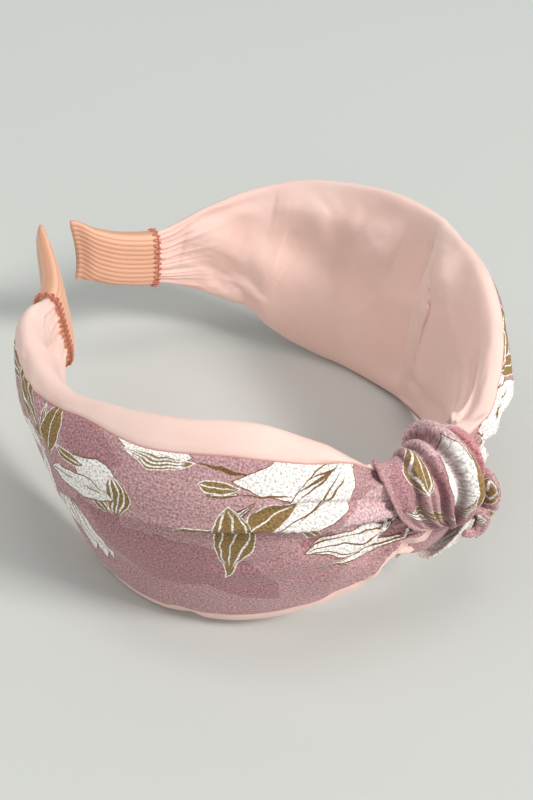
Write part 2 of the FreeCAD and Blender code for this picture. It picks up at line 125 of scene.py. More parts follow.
# How far round from the band's edges the seams lie on the outside, in mm of cloth; below 0 is inside.
UPPER_ROLL = {
    -1: [(0, -2), (0.12, -1), (0.17, 0.8), (0.22, 4.5), (0.32, 7.6), (0.42, 7.6), (0.55, 4),
         (0.7, 5), (1, 4)],
    1: [(0, 3), (0.3, 4), (0.7, 7), (1, 7)],
}
LOWER_ROLL = {
    -1: [(0, 11), (0.07, 11), (0.13, 8.5), (0.2, 6), (0.35, 4.5), (0.6, 4), (1, 3)],
    1: [(0, -2), (0.3, -3.5), (0.42, -2.5), (0.55, 2.5), (1, 3)],
}
SEAM_MARGIN = 3.0 * MM
SEAM_THREAD = 0.16 * MM
ROLL_FLATNESS = 5.0
HALF_OUTLINE = 361
CLOTH = 0.5 * MM


def through(knots, t):
    """Smooth curve through (place, value) knots, by cubic spans with limited slopes."""
    x = np.array([knot[0] for knot in knots], float)
    y = np.array([knot[1] for knot in knots], float)
    t = np.clip(np.asarray(t, float), x[0], x[-1])
    step = np.diff(y) / np.diff(x)
    slope = np.zeros(len(x))
    same = step[:-1] * step[1:] > 0
    slope[1:-1][same] = 2 * step[:-1][same] * step[1:][same] / (step[:-1][same] + step[1:][same])
    i = np.clip(np.searchsorted(x, t, side="right") - 1, 0, len(x) - 2)
    w = x[i + 1] - x[i]
    u = (t - x[i]) / w
    rise = (2 * u**3 - 3 * u**2 + 1) * y[i] + (3 * u**2 - 2 * u**3) * y[i + 1]
    return rise + w * ((u**3 - 2 * u**2 + u) * slope[i] + (u**3 - u**2) * slope[i + 1])


def smooth(low, high, value):
    """A soft step from 0 at low to 1 at high."""
    t = np.clip((np.asarray(value, float) - low) / (high - low), 0.0, 1.0)
    return t * t * (3.0 - 2.0 * t)


def spine(side, s):
    """Points of the hoop's line at s, and the outward direction there."""
    s = np.asarray(s, float)
    turn = np.minimum(s / RADIUS, ARM)
    straight = np.maximum(s - SEAM, 0.0)
    out = np.stack([side * np.sin(turn), -np.cos(turn), 0.0 * turn], -1)
    ahead = np.array([side * math.cos(ARM), math.sin(ARM), 0.0])
    stand_off = through(RADIAL[side], s / LENGTH) * MM
    return CENTRE + out * (RADIUS + stand_off)[..., None] + straight[..., None] * ahead, out


def wall(side, s, z, n):
    """Points at s along the arm, z up the leaning band and n out from it."""
    point, out = spine(side, s)
    lean = np.radians(through(LEAN[side], np.asarray(s, float) / LENGTH))[..., None]
    rise = UP * np.cos(lean) + out * np.sin(lean)
    off = out * np.cos(lean) - UP * np.sin(lean)
    return point + rise * np.asarray(z, float)[..., None] + off * np.asarray(n, float)[..., None]


# ---------------------------------------------------------------- meshes


def finished(name, vertices, faces, cloth=None):
    """A smooth-shaded object. Cloth is each point's place on the flat cloth in mm, and how much painted
    crease shade it gets.
    """
    mesh = bpy.data.meshes.new(name)
    mesh.from_pydata(vertices.reshape(-1, 3).tolist(), [], [list(map(int, face)) for face in faces])
    if cloth is not None:
        place = mesh.attributes.new("cloth", "FLOAT_VECTOR", "POINT")
        flat = np.zeros((len(mesh.vertices), 3), np.float32)
        flat[:, : cloth.shape[-1]] = cloth.reshape(-1, cloth.shape[-1])
        place.data.foreach_set("vector", flat.ravel())
    shape = bmesh.new()
    shape.from_mesh(mesh)
    bmesh.ops.recalc_face_normals(shape, faces=shape.faces)
    shape.to_mesh(mesh)
    shape.free()
    mesh.shade_smooth()
    piece = bpy.data.objects.new(name, mesh)
    bpy.context.scene.collection.objects.link(piece)
    return piece


def quads(index):
    """Faces of a grid of vertex numbers."""
    return np.stack([index[:-1, :-1], index[1:, :-1], index[1:, 1:], index[:-1, 1:]], -1).reshape(-1, 4)


def shell(name, outer, inner, cloth):
    """A closed piece of cloth from its two faces, each a grid of points."""
    rows, cols = outer.shape[:2]
    index = np.arange(rows * cols).reshape(rows, cols)
    rim = np.concatenate([index[0, :-1], index[:-1, -1], index[-1, :0:-1], index[:0:-1, 0]])
    beside = np.roll(rim, -1)
    back = rows * cols
    edge = np.stack([rim, beside, beside + back, rim + back], -1)
    faces = np.concatenate([quads(index), quads(index)[:, ::-1] + back, edge])
    return finished(name, np.stack([outer, inner]), faces, np.stack([cloth, cloth]))


def loops(name, rings, cloth=None):
    """A closed surface through rings of points, capped at both ends."""
    rows, cols = rings.shape[:2]
    index = np.arange(rows * cols).reshape(rows, cols)
    index = np.concatenate([index, index[:, :1]], 1)
    faces = [list(face) for face in quads(index)]
    faces += [list(index[end, :-1]) for end in (0, -1)]
    return finished(name, rings, faces, cloth)


def grid_normals(points, around):
    """Unit normals of a grid of points, which may close round its columns."""
    along = np.gradient(points, axis=0)
    if around:
        across = np.roll(points, -1, 1) - np.roll(points, 1, 1)
    else:
        across = np.gradient(points, axis=1)
    normal = np.cross(along, across)
    return normal / np.maximum(np.linalg.norm(normal, axis=-1, keepdims=True), 1e-12)


def thread_rings(path, radius, sides=8):
    """Rings of points round a path, for a thread or roll; radius may change along it."""
    path = np.asarray(path, float)
    radius = np.broadcast_to(np.asarray(radius, float), (len(path),))
    ahead = np.gradient(path, axis=0)
    ahead /= np.linalg.norm(ahead, axis=1, keepdims=True)
    first = np.cross(ahead[0], UP if abs(ahead[0][2]) < 0.9 else np.array([1.0, 0.0, 0.0]))
    across = [first / np.linalg.norm(first)]
    for direction in ahead[1:]:
        carried = across[-1] - direction * (across[-1] @ direction)
        across.append(carried / np.linalg.norm(carried))
    across = np.array(across)
    above = np.cross(ahead, across)
    turn = np.linspace(0, 2 * math.pi, sides, endpoint=False)
    ring = np.cos(turn)[:, None] * across[:, None] + np.sin(turn)[:, None] * above[:, None]
    return path[:, None] + ring * radius[:, None, None]


def curve_through(points, count):
    """Evenly spaced places on a smooth curve through a few points."""
    points = np.asarray(points, float)
    along = np.concatenate([[0], np.cumsum(np.linalg.norm(np.diff(points, axis=0), axis=1))])
    t = np.linspace(0, along[-1], count)
    return np.stack([through(list(zip(along, points[:, i])), t) for i in range(points.shape[1])], -1)


def joined(name, pieces):
    """One object from several, its first keeping the name."""
    shape = bmesh.new()
    for piece in pieces:
        shape.from_mesh(piece.data)
        bpy.data.objects.remove(piece)
    mesh = bpy.data.meshes.new(name)
    shape.to_mesh(mesh)
    shape.free()
    mesh.shade_smooth()
    piece = bpy.data.objects.new(name, mesh)
    bpy.context.scene.collection.objects.link(piece)
    return piece


# ---------------------------------------------------------------- the cloth tube over each arm


def outline(side, s):
    """The tube's closed outline at s from its bottom edge up the outer wall: heights, stand-offs,
    distance along, and the whole girth."""
    share = s / LENGTH
    top = through(TOP[side], share) * MM
    bottom = through(BOTTOM[side], share) * MM
    turn = np.linspace(-math.pi / 2, math.pi / 2, HALF_OUTLINE)
    rise = np.sign(turn) * np.abs(np.sin(turn)) ** (2 / ROLL_FLATNESS)
    height = (top - bottom) / 2 + (top + bottom) / 2 * rise
    tip = -2 * through(TOP_TIP[side], share) * MM * smooth(0.45, 1.3, rise)
    flattening = 1 - LOW_FLATTENING * smooth(0.0, 0.9, -rise)
    outer = through(OUTER_PUFF[side], share) * MM * np.cos(turn) * flattening + tip
    inner = -through(INNER_PUFF[side], share) * MM * np.cos(turn) + tip
    z = np.concatenate([height, height[-2:0:-1]])
    n = np.concatenate([outer, inner[-2:0:-1]])
    steps = np.hypot(np.diff(z, append=z[0]), np.diff(n, append=n[0]))
    return z, n, np.cumsum(steps) - steps, steps.sum()


def section(side, s, counts):
    """The tube's closed outline at s, as heights and stand-offs, with its cloth height on the outside.

    It starts at the lower seam and goes up the outer wall to the upper seam, over the top edge,
    down the inner wall and round the bottom edge; counts gives the steps of those stretches.
    """
    z, n, along, girth = outline(side, s)
    crest = along[HALF_OUTLINE - 1]
    lower = through(LOWER_ROLL[side], s / LENGTH) * MM
    upper = crest - through(UPPER_ROLL[side], s / LENGTH) * MM
    stops = [lower, upper, crest, girth + lower - SEAM_MARGIN, girth + lower]
    places = np.concatenate(
        [np.linspace(a, b, count, endpoint=False) for a, b, count in zip(stops, stops[1:], counts)]
    )
    z_at = np.interp(places, along, z, period=girth)
    n_at = np.interp(places, along, n, period=girth)
    return z_at, n_at, places - np.interp(0.0, z[:HALF_OUTLINE], along[:HALF_OUTLINE])


def tube(side, stations, counts):
    """Grids of the tube's s, z, n and flat cloth height."""
    rows = [section(side, s, counts) for s in stations]
    z, n, flat = (np.array([row[i] for row in rows]) for i in range(3))
    s = np.repeat(np.asarray(stations)[:, None], z.shape[1], 1)
    return s, z, n, flat


# ---------------------------------------------------------------- the cloth, settled by simulation

SIM_SCALE = 10.0
SIM_FRAMES = 24
LARGEST_MOVE = 3.5 * MM
COARSE_STEPS = (22, 4, 22, 2)
COARSE_STATIONS = 54
FINE_STEPS = (110, 14, 90, 8)
FINE_STATIONS = 260
# How firmly the cloth is pinned to its drawn shape, from 0 to 1.
HOLD_AT_ENDS = 0.6
HOLD_AT_SEAMS = 0.25
HOLD_BETWEEN = 0.02
STILLER_NEAR_TIP = 0.8


def settled(points, hold):
    """How far cloth simulation moves a closed tube of points; hold is how firmly each is pinned."""
    rows, cols = points.shape[:2]
    index = np.arange(rows * cols).reshape(rows, cols)
    index = np.concatenate([index, index[:, :1]], 1)
    tube_of_cloth = finished("settling", points * SIM_SCALE, quads(index))
    pins = tube_of_cloth.vertex_groups.new(name="pins")
    for vertex, weight in enumerate(hold.ravel()):
        pins.add([vertex], float(weight), "REPLACE")
    modifier = tube_of_cloth.modifiers.new("cloth", "CLOTH")
    cloth = modifier.settings
    cloth.quality = 7
    cloth.mass = 0.15
    cloth.tension_stiffness = 12.0
    cloth.compression_stiffness = 12.0
    cloth.shear_stiffness = 4.0
    cloth.bending_stiffness = 0.08
    cloth.tension_damping = 8.0
    cloth.compression_damping = 8.0
    cloth.vertex_group_mass = "pins"
    cloth.pin_stiffness = 0.6
    cloth.shrink_min = -0.045
    cloth.use_pressure = True
    cloth.uniform_pressure_force = 0.6
    cloth.effector_weights.gravity = 0.25
    modifier.collision_settings.use_collision = False
    modifier.point_cache.frame_start = 1
    modifier.point_cache.frame_end = SIM_FRAMES
    scene = bpy.context.scene
    for number in range(1, SIM_FRAMES + 1):
        scene.frame_set(number)
    after = tube_of_cloth.evaluated_get(bpy.context.evaluated_depsgraph_get()).to_mesh()
    moved = np.zeros(len(after.vertices) * 3, np.float32)
    after.vertices.foreach_get("co", moved)
    moved = moved.reshape(rows, cols, 3) / SIM_SCALE - points
    bpy.data.objects.remove(tube_of_cloth)
    scene.frame_set(1)
    length = np.linalg.norm(moved, axis=-1, keepdims=True)
    return moved * np.minimum(1.0, LARGEST_MOVE / np.maximum(length, 1e-9))


def resampled(values, rows, cols):
    """Values of a grid at fractional row and column numbers, smoothly, where columns wrap round."""

    def between(grid, at, wrap):
        base = np.floor(at).astype(int)
        u = (at - base)[:, None, None]
        last = grid.shape[0]
        near = [(base + k) % last if wrap else np.clip(base + k, 0, last - 1) for k in (-1, 0, 1, 2)]
        a, b, c, d = (grid[i] for i in near)
        return b + 0.5 * u * (c - a + u * (2 * a - 5 * b + 4 * c - d + u * (3 * (b - c) + d - a)))

    tall = between(values, rows, False)
    return between(tall.transpose(1, 0, 2), cols, True).transpose(1, 0, 2)


def settled_tube(side):
    """The fine tube's grids of points, s and cloth height, with the simulated cloth's shape."""
    end = SEAM + SLEEVE_START[side] * MM + CLOTH_INTO_SLEEVE
    s, z, n, flat = tube(side, np.linspace(0.0, end, FINE_STATIONS), FINE_STEPS)
    points = wall(side, s, z, n)
    stations = np.linspace(0.0, end, COARSE_STATIONS)
    coarse_s, coarse_z, coarse_n, _ = tube(side, stations, COARSE_STEPS)
    share = coarse_s / end
    near_ends = 1 - smooth(0.0, 0.16, share) + smooth(0.72, 0.95, share)
    hold = np.maximum(HOLD_BETWEEN, HOLD_AT_ENDS * near_ends)
    seams = [0, COARSE_STEPS[0]]
    hold[:, seams] = np.maximum(hold[:, seams], HOLD_AT_SEAMS)
    hold[[0, 1, -2, -1]] = 1.0
    moved = settled(wall(side, coarse_s, coarse_z, coarse_n), hold)
    rows = np.linspace(0, COARSE_STATIONS - 1, FINE_STATIONS)
    starts = np.cumsum((0,) + COARSE_STEPS)
    cols = np.concatenate([
        first + np.arange(fine) * coarse / fine
        for first, coarse, fine in zip(starts, COARSE_STEPS, FINE_STEPS)
    ])
    near_tip = smooth(0.6, 0.85, s / end)[..., None]
    points = points + resampled(moved, rows, cols) * (1 - STILLER_NEAR_TIP * near_tip)
    return points, s, flat


# ---------------------------------------------------------------- folds

# The outer folds and the arms' print lie this many mm higher up the cloth than they are written.
PRINT_RAISED = 3.0
# Each fold: kind, width and depth in mm, then the (s, height) points in mm that it runs through.
# Heights are measured along the cloth for the outer folds, and straight up the band for the inner.
OUTER_FOLDS = {
    -1: [
        ("tuck", 1.7, 5.4, [(106, -4), (94, 1.5), (84, 5), (72, 6.8), (60, 9.4), (50, 10.6),
                            (39, 10.6), (26, 8)]),
        ("valley", 1.5, 1.8, [(62, -5), (52, -1), (44, 3), (34, 5), (22, 3)]),
        ("tuck", 1.4, 1.6, [(60, 14), (46, 18), (34, 16), (20, 10)]),
        ("valley", 2.2, 0.9, [(58, -12), (46, -8), (32, -4), (20, -2)]),
        ("valley", 2.0, 1.0, [(40, 18), (30, 15), (20, 9)]),
        ("tuck", 1.8, 1.6, [(112, 12), (103, 9), (96, 8), (88, 10)]),
        ("valley", 2.5, 1.4, [(160, -3), (146, -6), (128, -8), (110, -6)]),
        ("ridge", 4.0, 1.2, [(158, 3), (140, 4), (122, 4)]),
        ("valley", 3.0, 1.0, [(110, -16), (96, -18), (80, -18)]),
    ],
    1: [
        ("tuck", 2.2, 2.4, [(98, -3), (84, 2), (66, 6), (48, 8), (32, 6), (20, 2)]),
        ("valley", 1.8, 1.2, [(20, -3), (34, -6), (50, -12)]),
        ("valley", 2.0, 1.1, [(22, 8), (34, 14), (46, 18)]),
        ("valley", 2.5, 1.3, [(160, 0), (140, 4), (118, 8), (100, 12)]),
        ("valley", 2.5, 1.2, [(158, -3), (136, -8), (112, -10)]),
        ("ridge", 4.0, 1.0, [(150, -2), (128, -2), (106, 0)]),
    ],
}
INNER_FOLDS = {
    -1: [
        ("valley", 2.6, 1.8, [(22, 12), (36, 19), (50, 25), (62, 28)]),
        ("valley", 3.0, 1.6, [(26, 0), (44, 2), (62, 0)]),
        ("valley", 2.4, 2.2, [(160, 2), (152, 3), (142, 8), (134, 13)]),
        ("valley", 3.0, 1.2, [(158, -4), (140, -10), (120, -14)]),
        ("ridge", 5.0, 1.5, [(150, 8), (130, 16), (112, 22)]),
    ],
    1: [
        ("tuck", 5.5, 6.0, [(84, 33), (79, 24), (76, 12), (75, -2), (74, -14), (74, -26)]),
        ("valley", 3.4, 1.6, [(70, -15), (62, -16), (52, -13), (42, -8)]),
        ("ridge", 6.0, 3.6, [(69, 28), (65, 10), (63, -4), (60, -12)]),
        ("valley", 2.4, 1.6, [(163, 5), (150, 8), (138, 12), (128, 17)]),
        ("valley", 5.0, 1.3, [(158, 0), (146, -6), (136, -14)]),
        ("ridge", 7.0, 2.4, [(154, 0), (138, -3), (122, -8)]),
        ("valley", 7.0, 1.4, [(124, 2), (106, 0), (94, -6)]),
        ("ridge", 8.0, 3.2, [(128, 15), (108, 15), (90, 15)]),
        ("valley", 3.0, 1.2, [(14, 6), (26, 10), (38, 14)]),
        ("valley", 3.0, 1.4, [(14, -3), (28, -6), (42, -8)]),
    ],
}


FOLD_POINTS = 41
# How wide the line of painted shade along a tuck's crease is.
PAINTED_SHADE_WIDTH = 0.75  # mm


def fold_depth(kind, width, depth, line, s, height):
    """How far one fold lifts or sinks each point in mm, and how much painted shade its crease line puts
    there.
    """
    path = curve_through(line, FOLD_POINTS)
    ahead = np.gradient(path, axis=0)
    ahead /= np.linalg.norm(ahead, axis=1, keepdims=True)
    nearest = np.full(s.shape, 1e9)
    beside = np.zeros(s.shape)
    share = np.zeros(s.shape)
    for number, (place, direction) in enumerate(zip(path, ahead)):
        across_s = s - place[0]
        across_h = height - place[1]
        distance = np.hypot(across_s, across_h)
        nearer = distance < nearest
        nearest = np.where(nearer, distance, nearest)
        beside = np.where(nearer, direction[0] * across_h - direction[1] * across_s, beside)
        share = np.where(nearer, number / (FOLD_POINTS - 1), share)
    fade = np.sin(math.pi * np.clip(share * 0.92 + 0.04, 0, 1)) ** 0.6
    if kind == "tuck":
        side_of = np.sign(beside) * nearest
        lift = np.tanh(side_of / (0.3 * width)) * np.exp(-nearest / (2.6 * width)) / 2
        # A tuck also gets a line of painted shade along its crease.
        return -depth * fade * lift, fade * np.exp(-((nearest / PAINTED_SHADE_WIDTH) ** 2))
    lift = np.exp(-((nearest / width) ** 2))
    return depth * fade * (lift if kind == "ridge" else -lift), 0.0 * fade


# Pleats in the tube's ends: how many go round, and their height in mm.
END_PLEATS = ((6, 1.2), (11, 0.8), (19, 0.4))


def gathers(s, around, seed):
    """Pleats that fan out of the knot and, smaller, out of the sleeve."""
    rng = np.random.default_rng(seed)
    s_mm = s / MM
    lift = np.zeros(s.shape)
    for count, size in END_PLEATS:
        phase = rng.uniform(0, 2 * math.pi)
        drift = rng.uniform(-0.02, 0.02)
        reach = rng.uniform(15, 26)
        wave = np.cos(2 * math.pi * count * around + phase + drift * s_mm)
        wave = 1 - 2 * np.abs(wave) ** 0.7
        lift += size * wave * np.exp(-(((s_mm - 8) / reach) ** 2))
        lift += 0.4 * size * wave * np.exp(-(((SEAM / MM - s_mm) / 11) ** 2))
    return lift


FLOOR_CLEARANCE = 0.3 * MM
FLOOR_ROUNDING = 1.5 * MM


def softly_above(height):
    """Heights kept above zero with a rounded change, as cloth that rests on a table."""
    return (height + np.sqrt(height**2 + FLOOR_ROUNDING**2)) / 2


def section_heights(side, s):
    """Heights up the band in mm of every point of the fine tube."""
    z = np.array([section(side, station, FINE_STEPS)[0] for station in s[:, 0]])
    return z / MM


DEEPEST_FOLD = 0.6  # as a share of the cloth's distance from the hoop's line
SEAM_PULL = 0.4  # mm that a seam draws the cloth in


def folded_tube(side):
    """The finished tube: points, outward normals, s and flat cloth height in mm, and where painted
    shade darkens its creases.
    """
    points, s, flat = settled_tube(side)
    s_mm = s / MM
    height = flat / MM - PRINT_RAISED
    steps = np.cumsum((0,) + FINE_STEPS)
    column = np.arange(points.shape[1])[None, :]
    half = section_heights(side, s)
    outer = smooth(0, 10, column) * (1 - smooth(steps[1] - 8, steps[1] + 5, column))
    inner = smooth(steps[2], steps[2] + 17, column) * (1 - smooth(steps[3] - 12, steps[3], column))
    lift = np.zeros(points.shape[:2])
    painted_crease_shade = np.zeros(points.shape[:2])
    for kind, width, depth, line in OUTER_FOLDS[side]:
        moved, painted_shade_here = fold_depth(kind, width, depth, line, s_mm, height)
        lift += outer * moved
        # Painted shade along the crease lines of the deeper outer tucks.
        painted_crease_shade = np.maximum(painted_crease_shade, outer * painted_shade_here * smooth(0.5, 4.0, depth))
    for kind, width, depth, line in INNER_FOLDS[side]:
        lift += inner * fold_depth(kind, width, depth, line, s_mm, half)[0]
    puff = np.minimum(through(OUTER_PUFF[side], s / LENGTH), through(INNER_PUFF[side], s / LENGTH))
    girth = flat.max(1, keepdims=True) - flat.min(1, keepdims=True)
    lift += (outer + inner) * gathers(s, flat / girth, seed=7 + side)
    lift = np.maximum(lift, -DEEPEST_FOLD * puff)
    for seam in (0, steps[1]):
        away = np.minimum(abs(column - seam), points.shape[1] - abs(column - seam))
        lift -= SEAM_PULL * np.exp(-((away / 1.5) ** 2))
    normal = side * grid_normals(points, True)
    points = points + normal * (lift * MM)[..., None]
    points[..., 2] = FLOOR_CLEARANCE + softly_above(points[..., 2] - FLOOR_CLEARANCE)
    return points, side * grid_normals(points, True), s_mm, height, painted_crease_shade


def arm_cloth(word, side):
    """The arm's print panel, lining and two seam threads, from one folded tube."""
    points, normal, s_mm, height, painted_crease_shade = folded_tube(side)
    seam = int(np.cumsum(FINE_STEPS)[0])
    inner = points - normal * CLOTH
    # The third value is how much painted crease shade each point gets.
    cloth = np.stack([-side * s_mm, height, painted_crease_shade], -1)
    outside = np.arange(0, seam + 1)
    inside = np.arange(seam, points.shape[1] + 1) % points.shape[1]
    sheets = [
        shell(f"{name}_{word}_cloth", points[:, cut], inner[:, cut], cloth[:, cut])
        for name, cut in (("print_panel", outside), ("lining", inside))
    ]
    threads = []
    for place, column in (("upper", seam), ("lower", 0)):
        path = points[:, column] - normal[:, column] * SEAM_THREAD * 0.3
        threads.append(loops(f"seam_{place}_{word}_thread", thread_rings(path, SEAM_THREAD)))
    return sheets, threads


# ---------------------------------------------------------------- hoop, sleeves and overcasting

HOOP_WIDTH = 20.0 * MM
HOOP_THICKNESS = 1.6 * MM
HOOP_CLEARANCE = 1.4 * MM
HOOP_SHORT = 5.5 * MM
HOOP_SHIFT = 0.35  # towards the thicker side of the cloth, as a share of how much thicker it is
# The sleeves' outline in mm, by share of their length.
SLEEVE_HALF_THICKNESS = [(0, 3.3), (0.5, 3.0), (0.85, 2.2), (1, 0.9)]
SLEEVE_TOP = {
    -1: [(0, 14.5), (0.4, 14.8), (0.75, 16), (1, 17.5)],
    1: [(0, 5.2), (0.4, 6.4), (0.75, 9.0), (1, 12.0)],
}
SLEEVE_BOTTOM = {
    -1: [(0, 8.5), (0.5, 8), (1, 6)],
    1: [(0, 11.8), (0.5, 9.5), (1, 6.4)],
}
SLEEVE_BEND = [(0, 0.0), (0.55, 0.0), (0.8, 0.5), (1, 1.6)]
SLEEVE_CORNERS = 5
SLEEVE_BOW = 0.9 * MM
SLEEVE_POINTS = 300
RIB_PITCH = 1.45
PICK_PITCH = 0.45
RIB_HEIGHT = 0.16
OVERCAST_PITCH = 1.7 * MM
OVERCAST_REACH = 1.0 * MM
OVERCAST_THREAD = 0.19 * MM


def rounded_outline(half_height, half_thickness, power, count):
    """Heights and stand-offs of a flat rounded outline, evenly spaced."""
    turn = np.linspace(0, 2 * math.pi, 1441)
    z = half_height * np.sign(np.sin(turn)) * np.abs(np.sin(turn)) ** (2 / power)
    n = half_thickness * np.sign(np.cos(turn)) * np.abs(np.cos(turn)) ** (2 / 2.4)
    along = np.concatenate([[0], np.cumsum(np.hypot(np.diff(z), np.diff(n)))])
    places = np.linspace(0, along[-1], count, endpoint=False)
    return np.interp(places, along, z), np.interp(places, along, n)


def hoop_strip(word, side):
    """The sprung strip inside one arm, from the crown's middle to the tip, kept within the cloth."""
    count = 28
    z, n = rounded_outline(HOOP_WIDTH / 2, HOOP_THICKNESS / 2, 8, count)
    rings = []
    for s in np.linspace(0.2 * MM, LENGTH - HOOP_SHORT, 70):
        top = through(TOP[side], s / LENGTH) * MM - HOOP_CLEARANCE
        bottom = through(BOTTOM[side], s / LENGTH) * MM - HOOP_CLEARANCE
        half = min(HOOP_WIDTH / 2, (top + bottom) / 2)
        middle = min(max(0.0, half - bottom), top - half)
        bend = through(SLEEVE_BEND, max(0.0, (s - SEAM) / SLEEVE)) * MM
        thicker = through(OUTER_PUFF[side], s / LENGTH) - through(INNER_PUFF[side], s / LENGTH)
        bend = bend + HOOP_SHIFT * thicker * MM
        rings.append(wall(side, np.full(count, s), z * half / (HOOP_WIDTH / 2) + middle, n + bend))
    return loops(f"hoop_{word}_strip", np.array(rings))


def sleeve_outline(side, share, count):
    """Heights and stand-offs round a ribbon sleeve, at a share of its length."""
    top = through(SLEEVE_TOP[side], share)
    bottom = through(SLEEVE_BOTTOM[side], share)
    thickness = through(SLEEVE_HALF_THICKNESS, share)
    z, n = rounded_outline((top + bottom) / 2, thickness, SLEEVE_CORNERS, count)
    z = z + (top - bottom) / 2
    rib = 0.5 - 0.5 * np.cos(2 * math.pi * (z - top) / RIB_PITCH)
    face = smooth(0.15, 0.6, np.abs(n) / thickness)
    n = n + np.sign(n) * RIB_HEIGHT * rib**0.6 * face
    n = n + through(SLEEVE_BEND, share)
    return z * MM, n * MM


def tip_sleeve(word, side):
    """A sleeve of ribbed ribbon, folded flat and flared at its end."""
    start = SEAM + SLEEVE_START[side] * MM
    end = LENGTH - SLEEVE_SHORT[side] * MM
    rings = []
    cloth = []
    for share in np.linspace(0, 1, 46):
        z, n = sleeve_outline(side, share, SLEEVE_POINTS)
        bow = SLEEVE_BOW * share**6 * np.cos(z / (13 * MM) * math.pi)
        s = start + share * (end - start) - bow
        rings.append(wall(side, s, z, n))
        cloth.append(np.stack([s / MM, z / MM - through(SLEEVE_TOP[side], share)], -1))
    for inset in (0.7, 0.3):
        thinner = n * inset + (1 - inset) * n.mean()
        rings.append(wall(side, s + (0.5 - 0.4 * inset) * MM, z * (0.96 + 0.04 * inset), thinner))
        cloth.append(cloth[-1])
    return loops(f"tip_sleeve_{word}_ribbon", np.array(rings), np.array(cloth))


def overcasting(word, side):
    """A zigzag of salmon thread round the sleeve's edge."""
    z, n = sleeve_outline(side, 0.0, 400)
    along = np.concatenate([[0], np.cumsum(np.hypot(np.diff(z), np.diff(n)))])
    girth = along[-1]
    stitches = round(girth / OVERCAST_PITCH)
    t = np.linspace(0, 1, stitches * 16)
    wave = np.sin(2 * math.pi * stitches * t)
    slip = 0.12 * np.sin(2 * math.pi * 3.3 * t)
    zz = np.interp(t * girth, along, z)
    nn = np.interp(t * girth, along, n)
    grow = 1 + 0.04 * np.abs(np.cos(2 * math.pi * stitches * t))
    edge = SEAM + SLEEVE_START[side] * MM
    s = edge + 0.3 * MM + OVERCAST_REACH * (wave + slip)
    path = wall(side, s, zz * grow, nn * grow * 1.05)
    bind = wall(side, np.full(len(t), edge - 0.1 * MM), zz * 1.01, nn * 1.03)
    rows = [
        loops("stitches", thread_rings(path, OVERCAST_THREAD)),
        loops("binding", thread_rings(bind[:-6], OVERCAST_THREAD * 0.9)),
    ]
    return joined(f"overcasting_{word}_thread", rows)


# ---------------------------------------------------------------- the knot

KNOT_START = 0.15
# Along the turn, by share from the gather up the front, over the top and down the back: the turn's
# left and right edges in mm along the band, and how far it stands off the band in mm.
TURN_LEFT = [
    (0, -8), (0.1, -18), (0.22, -25), (0.32, -27), (0.42, -23), (0.55, -18), (0.8, -15), (0.92, -12),
    (1, -7),
]
TURN_RIGHT = [
    (0, -2), (0.1, 2), (0.22, 4.5), (0.36, 5.5), (0.5, 6), (0.65, 7), (0.8, 8), (0.92, 6), (1, -1),
]
TURN_HEIGHT = [
    (0, 3.0), (0.08, 5.0), (0.2, 5.8), (0.3, 3.4), (0.4, 2.4), (0.55, 2.2), (0.85, 2.2), (1, 2.0),
]
# In mm: how far the turn's edges stand off the band, how far its roll at the front and its hood over
# the top rise, how deep its left edge is tucked in, its thickness, and its least height untucked.
TURN_EDGE = 0.9
ROLL_RISE = 2.4
HOOD_RISE = 3.0
EDGE_TUCK = 2.2
TURN_THICKNESS = 0.6
LEAST_HEIGHT = 0.7
PLEAT_STRENGTH = 1.35  # times the depths of PLEATS
# Pleats of the turn: share of its width, width, depth in mm, the side that lies on top, start and end.
PLEATS = [
    (0.12, 0.030, 0.9, -1, 0.00, 0.20),
    (0.24, 0.034, 2.8, 1, 0.00, 0.60),
    (0.34, 0.026, 1.4, 1, 0.02, 0.34),
    (0.44, 0.034, 2.8, 1, 0.00, 0.60),
    (0.51, 0.024, 1.2, -1, 0.02, 0.22),
    (0.57, 0.034, 3.2, 1, 0.03, 0.50),
    (0.78, 0.034, 3.2, -1, 0.00, 0.50),
    (0.90, 0.026, 1.2, 1, 0.02, 0.40),
]
KNOT_CLOTH_U = 300.0
TURN_CLOTH_WIDTH = 34.0
TURN_CLOTH_LENGTH = 92.0


def band_surface(along, share):
    """Points on the band's outline, at signed places along the crown and shares of the way round."""
    side = np.where(along < 0, -1, 1)
    z = np.zeros(along.shape)
    n = np.zeros(along.shape)
    for spot in np.ndindex(along.shape):
        tables = outline_table(int(side[spot]), round(abs(float(along[spot])) / MM))
        places = np.linspace(0, 1, len(tables[0]))
        z[spot], n[spot] = (np.interp(share[spot] % 1.0, places, table) for table in tables)
    left, right = (wall(way, np.abs(along), z, n) for way in (-1, 1))
    return np.where((side < 0)[..., None], left, right)


OUTLINES = {}


def outline_table(side, s_mm):
    """The band's closed outline at a whole number of mm from the crown's middle, evenly spaced."""
    if (side, s_mm) not in OUTLINES:
        z, n, along, _ = outline(side, s_mm * MM)
        girth = along[-1] + math.hypot(z[0] - z[-1], n[0] - n[-1])
        places = np.linspace(0, girth, 181)
        OUTLINES[side, s_mm] = [np.interp(places, along, values, period=girth) for values in (z, n)]
    return OUTLINES[side, s_mm]


def rounded_grid(points, passes):
    """A grid of points averaged along and across, to take out kinks."""
    for _ in range(passes):
        inner = points[1:-1, 1:-1]
        beside = points[2:, 1:-1] + points[:-2, 1:-1] + points[1:-1, 2:] + points[1:-1, :-2]
        points[1:-1, 1:-1] = 0.4 * inner + 0.15 * beside
    return points


def off_band(along, share, height):
    """Points that stand off the band's surface by a height, all given as grids."""
    base = rounded_grid(band_surface(along, share), 6)
    normal = grid_normals(base, False)
    middle = CENTRE + np.array([0, -RADIUS, 0])
    away = base - middle
    away[..., 0] = 0
    facing = np.sign((normal * away).sum(-1, keepdims=True))
    facing[facing == 0] = 1
    return base + normal * facing * height[..., None]


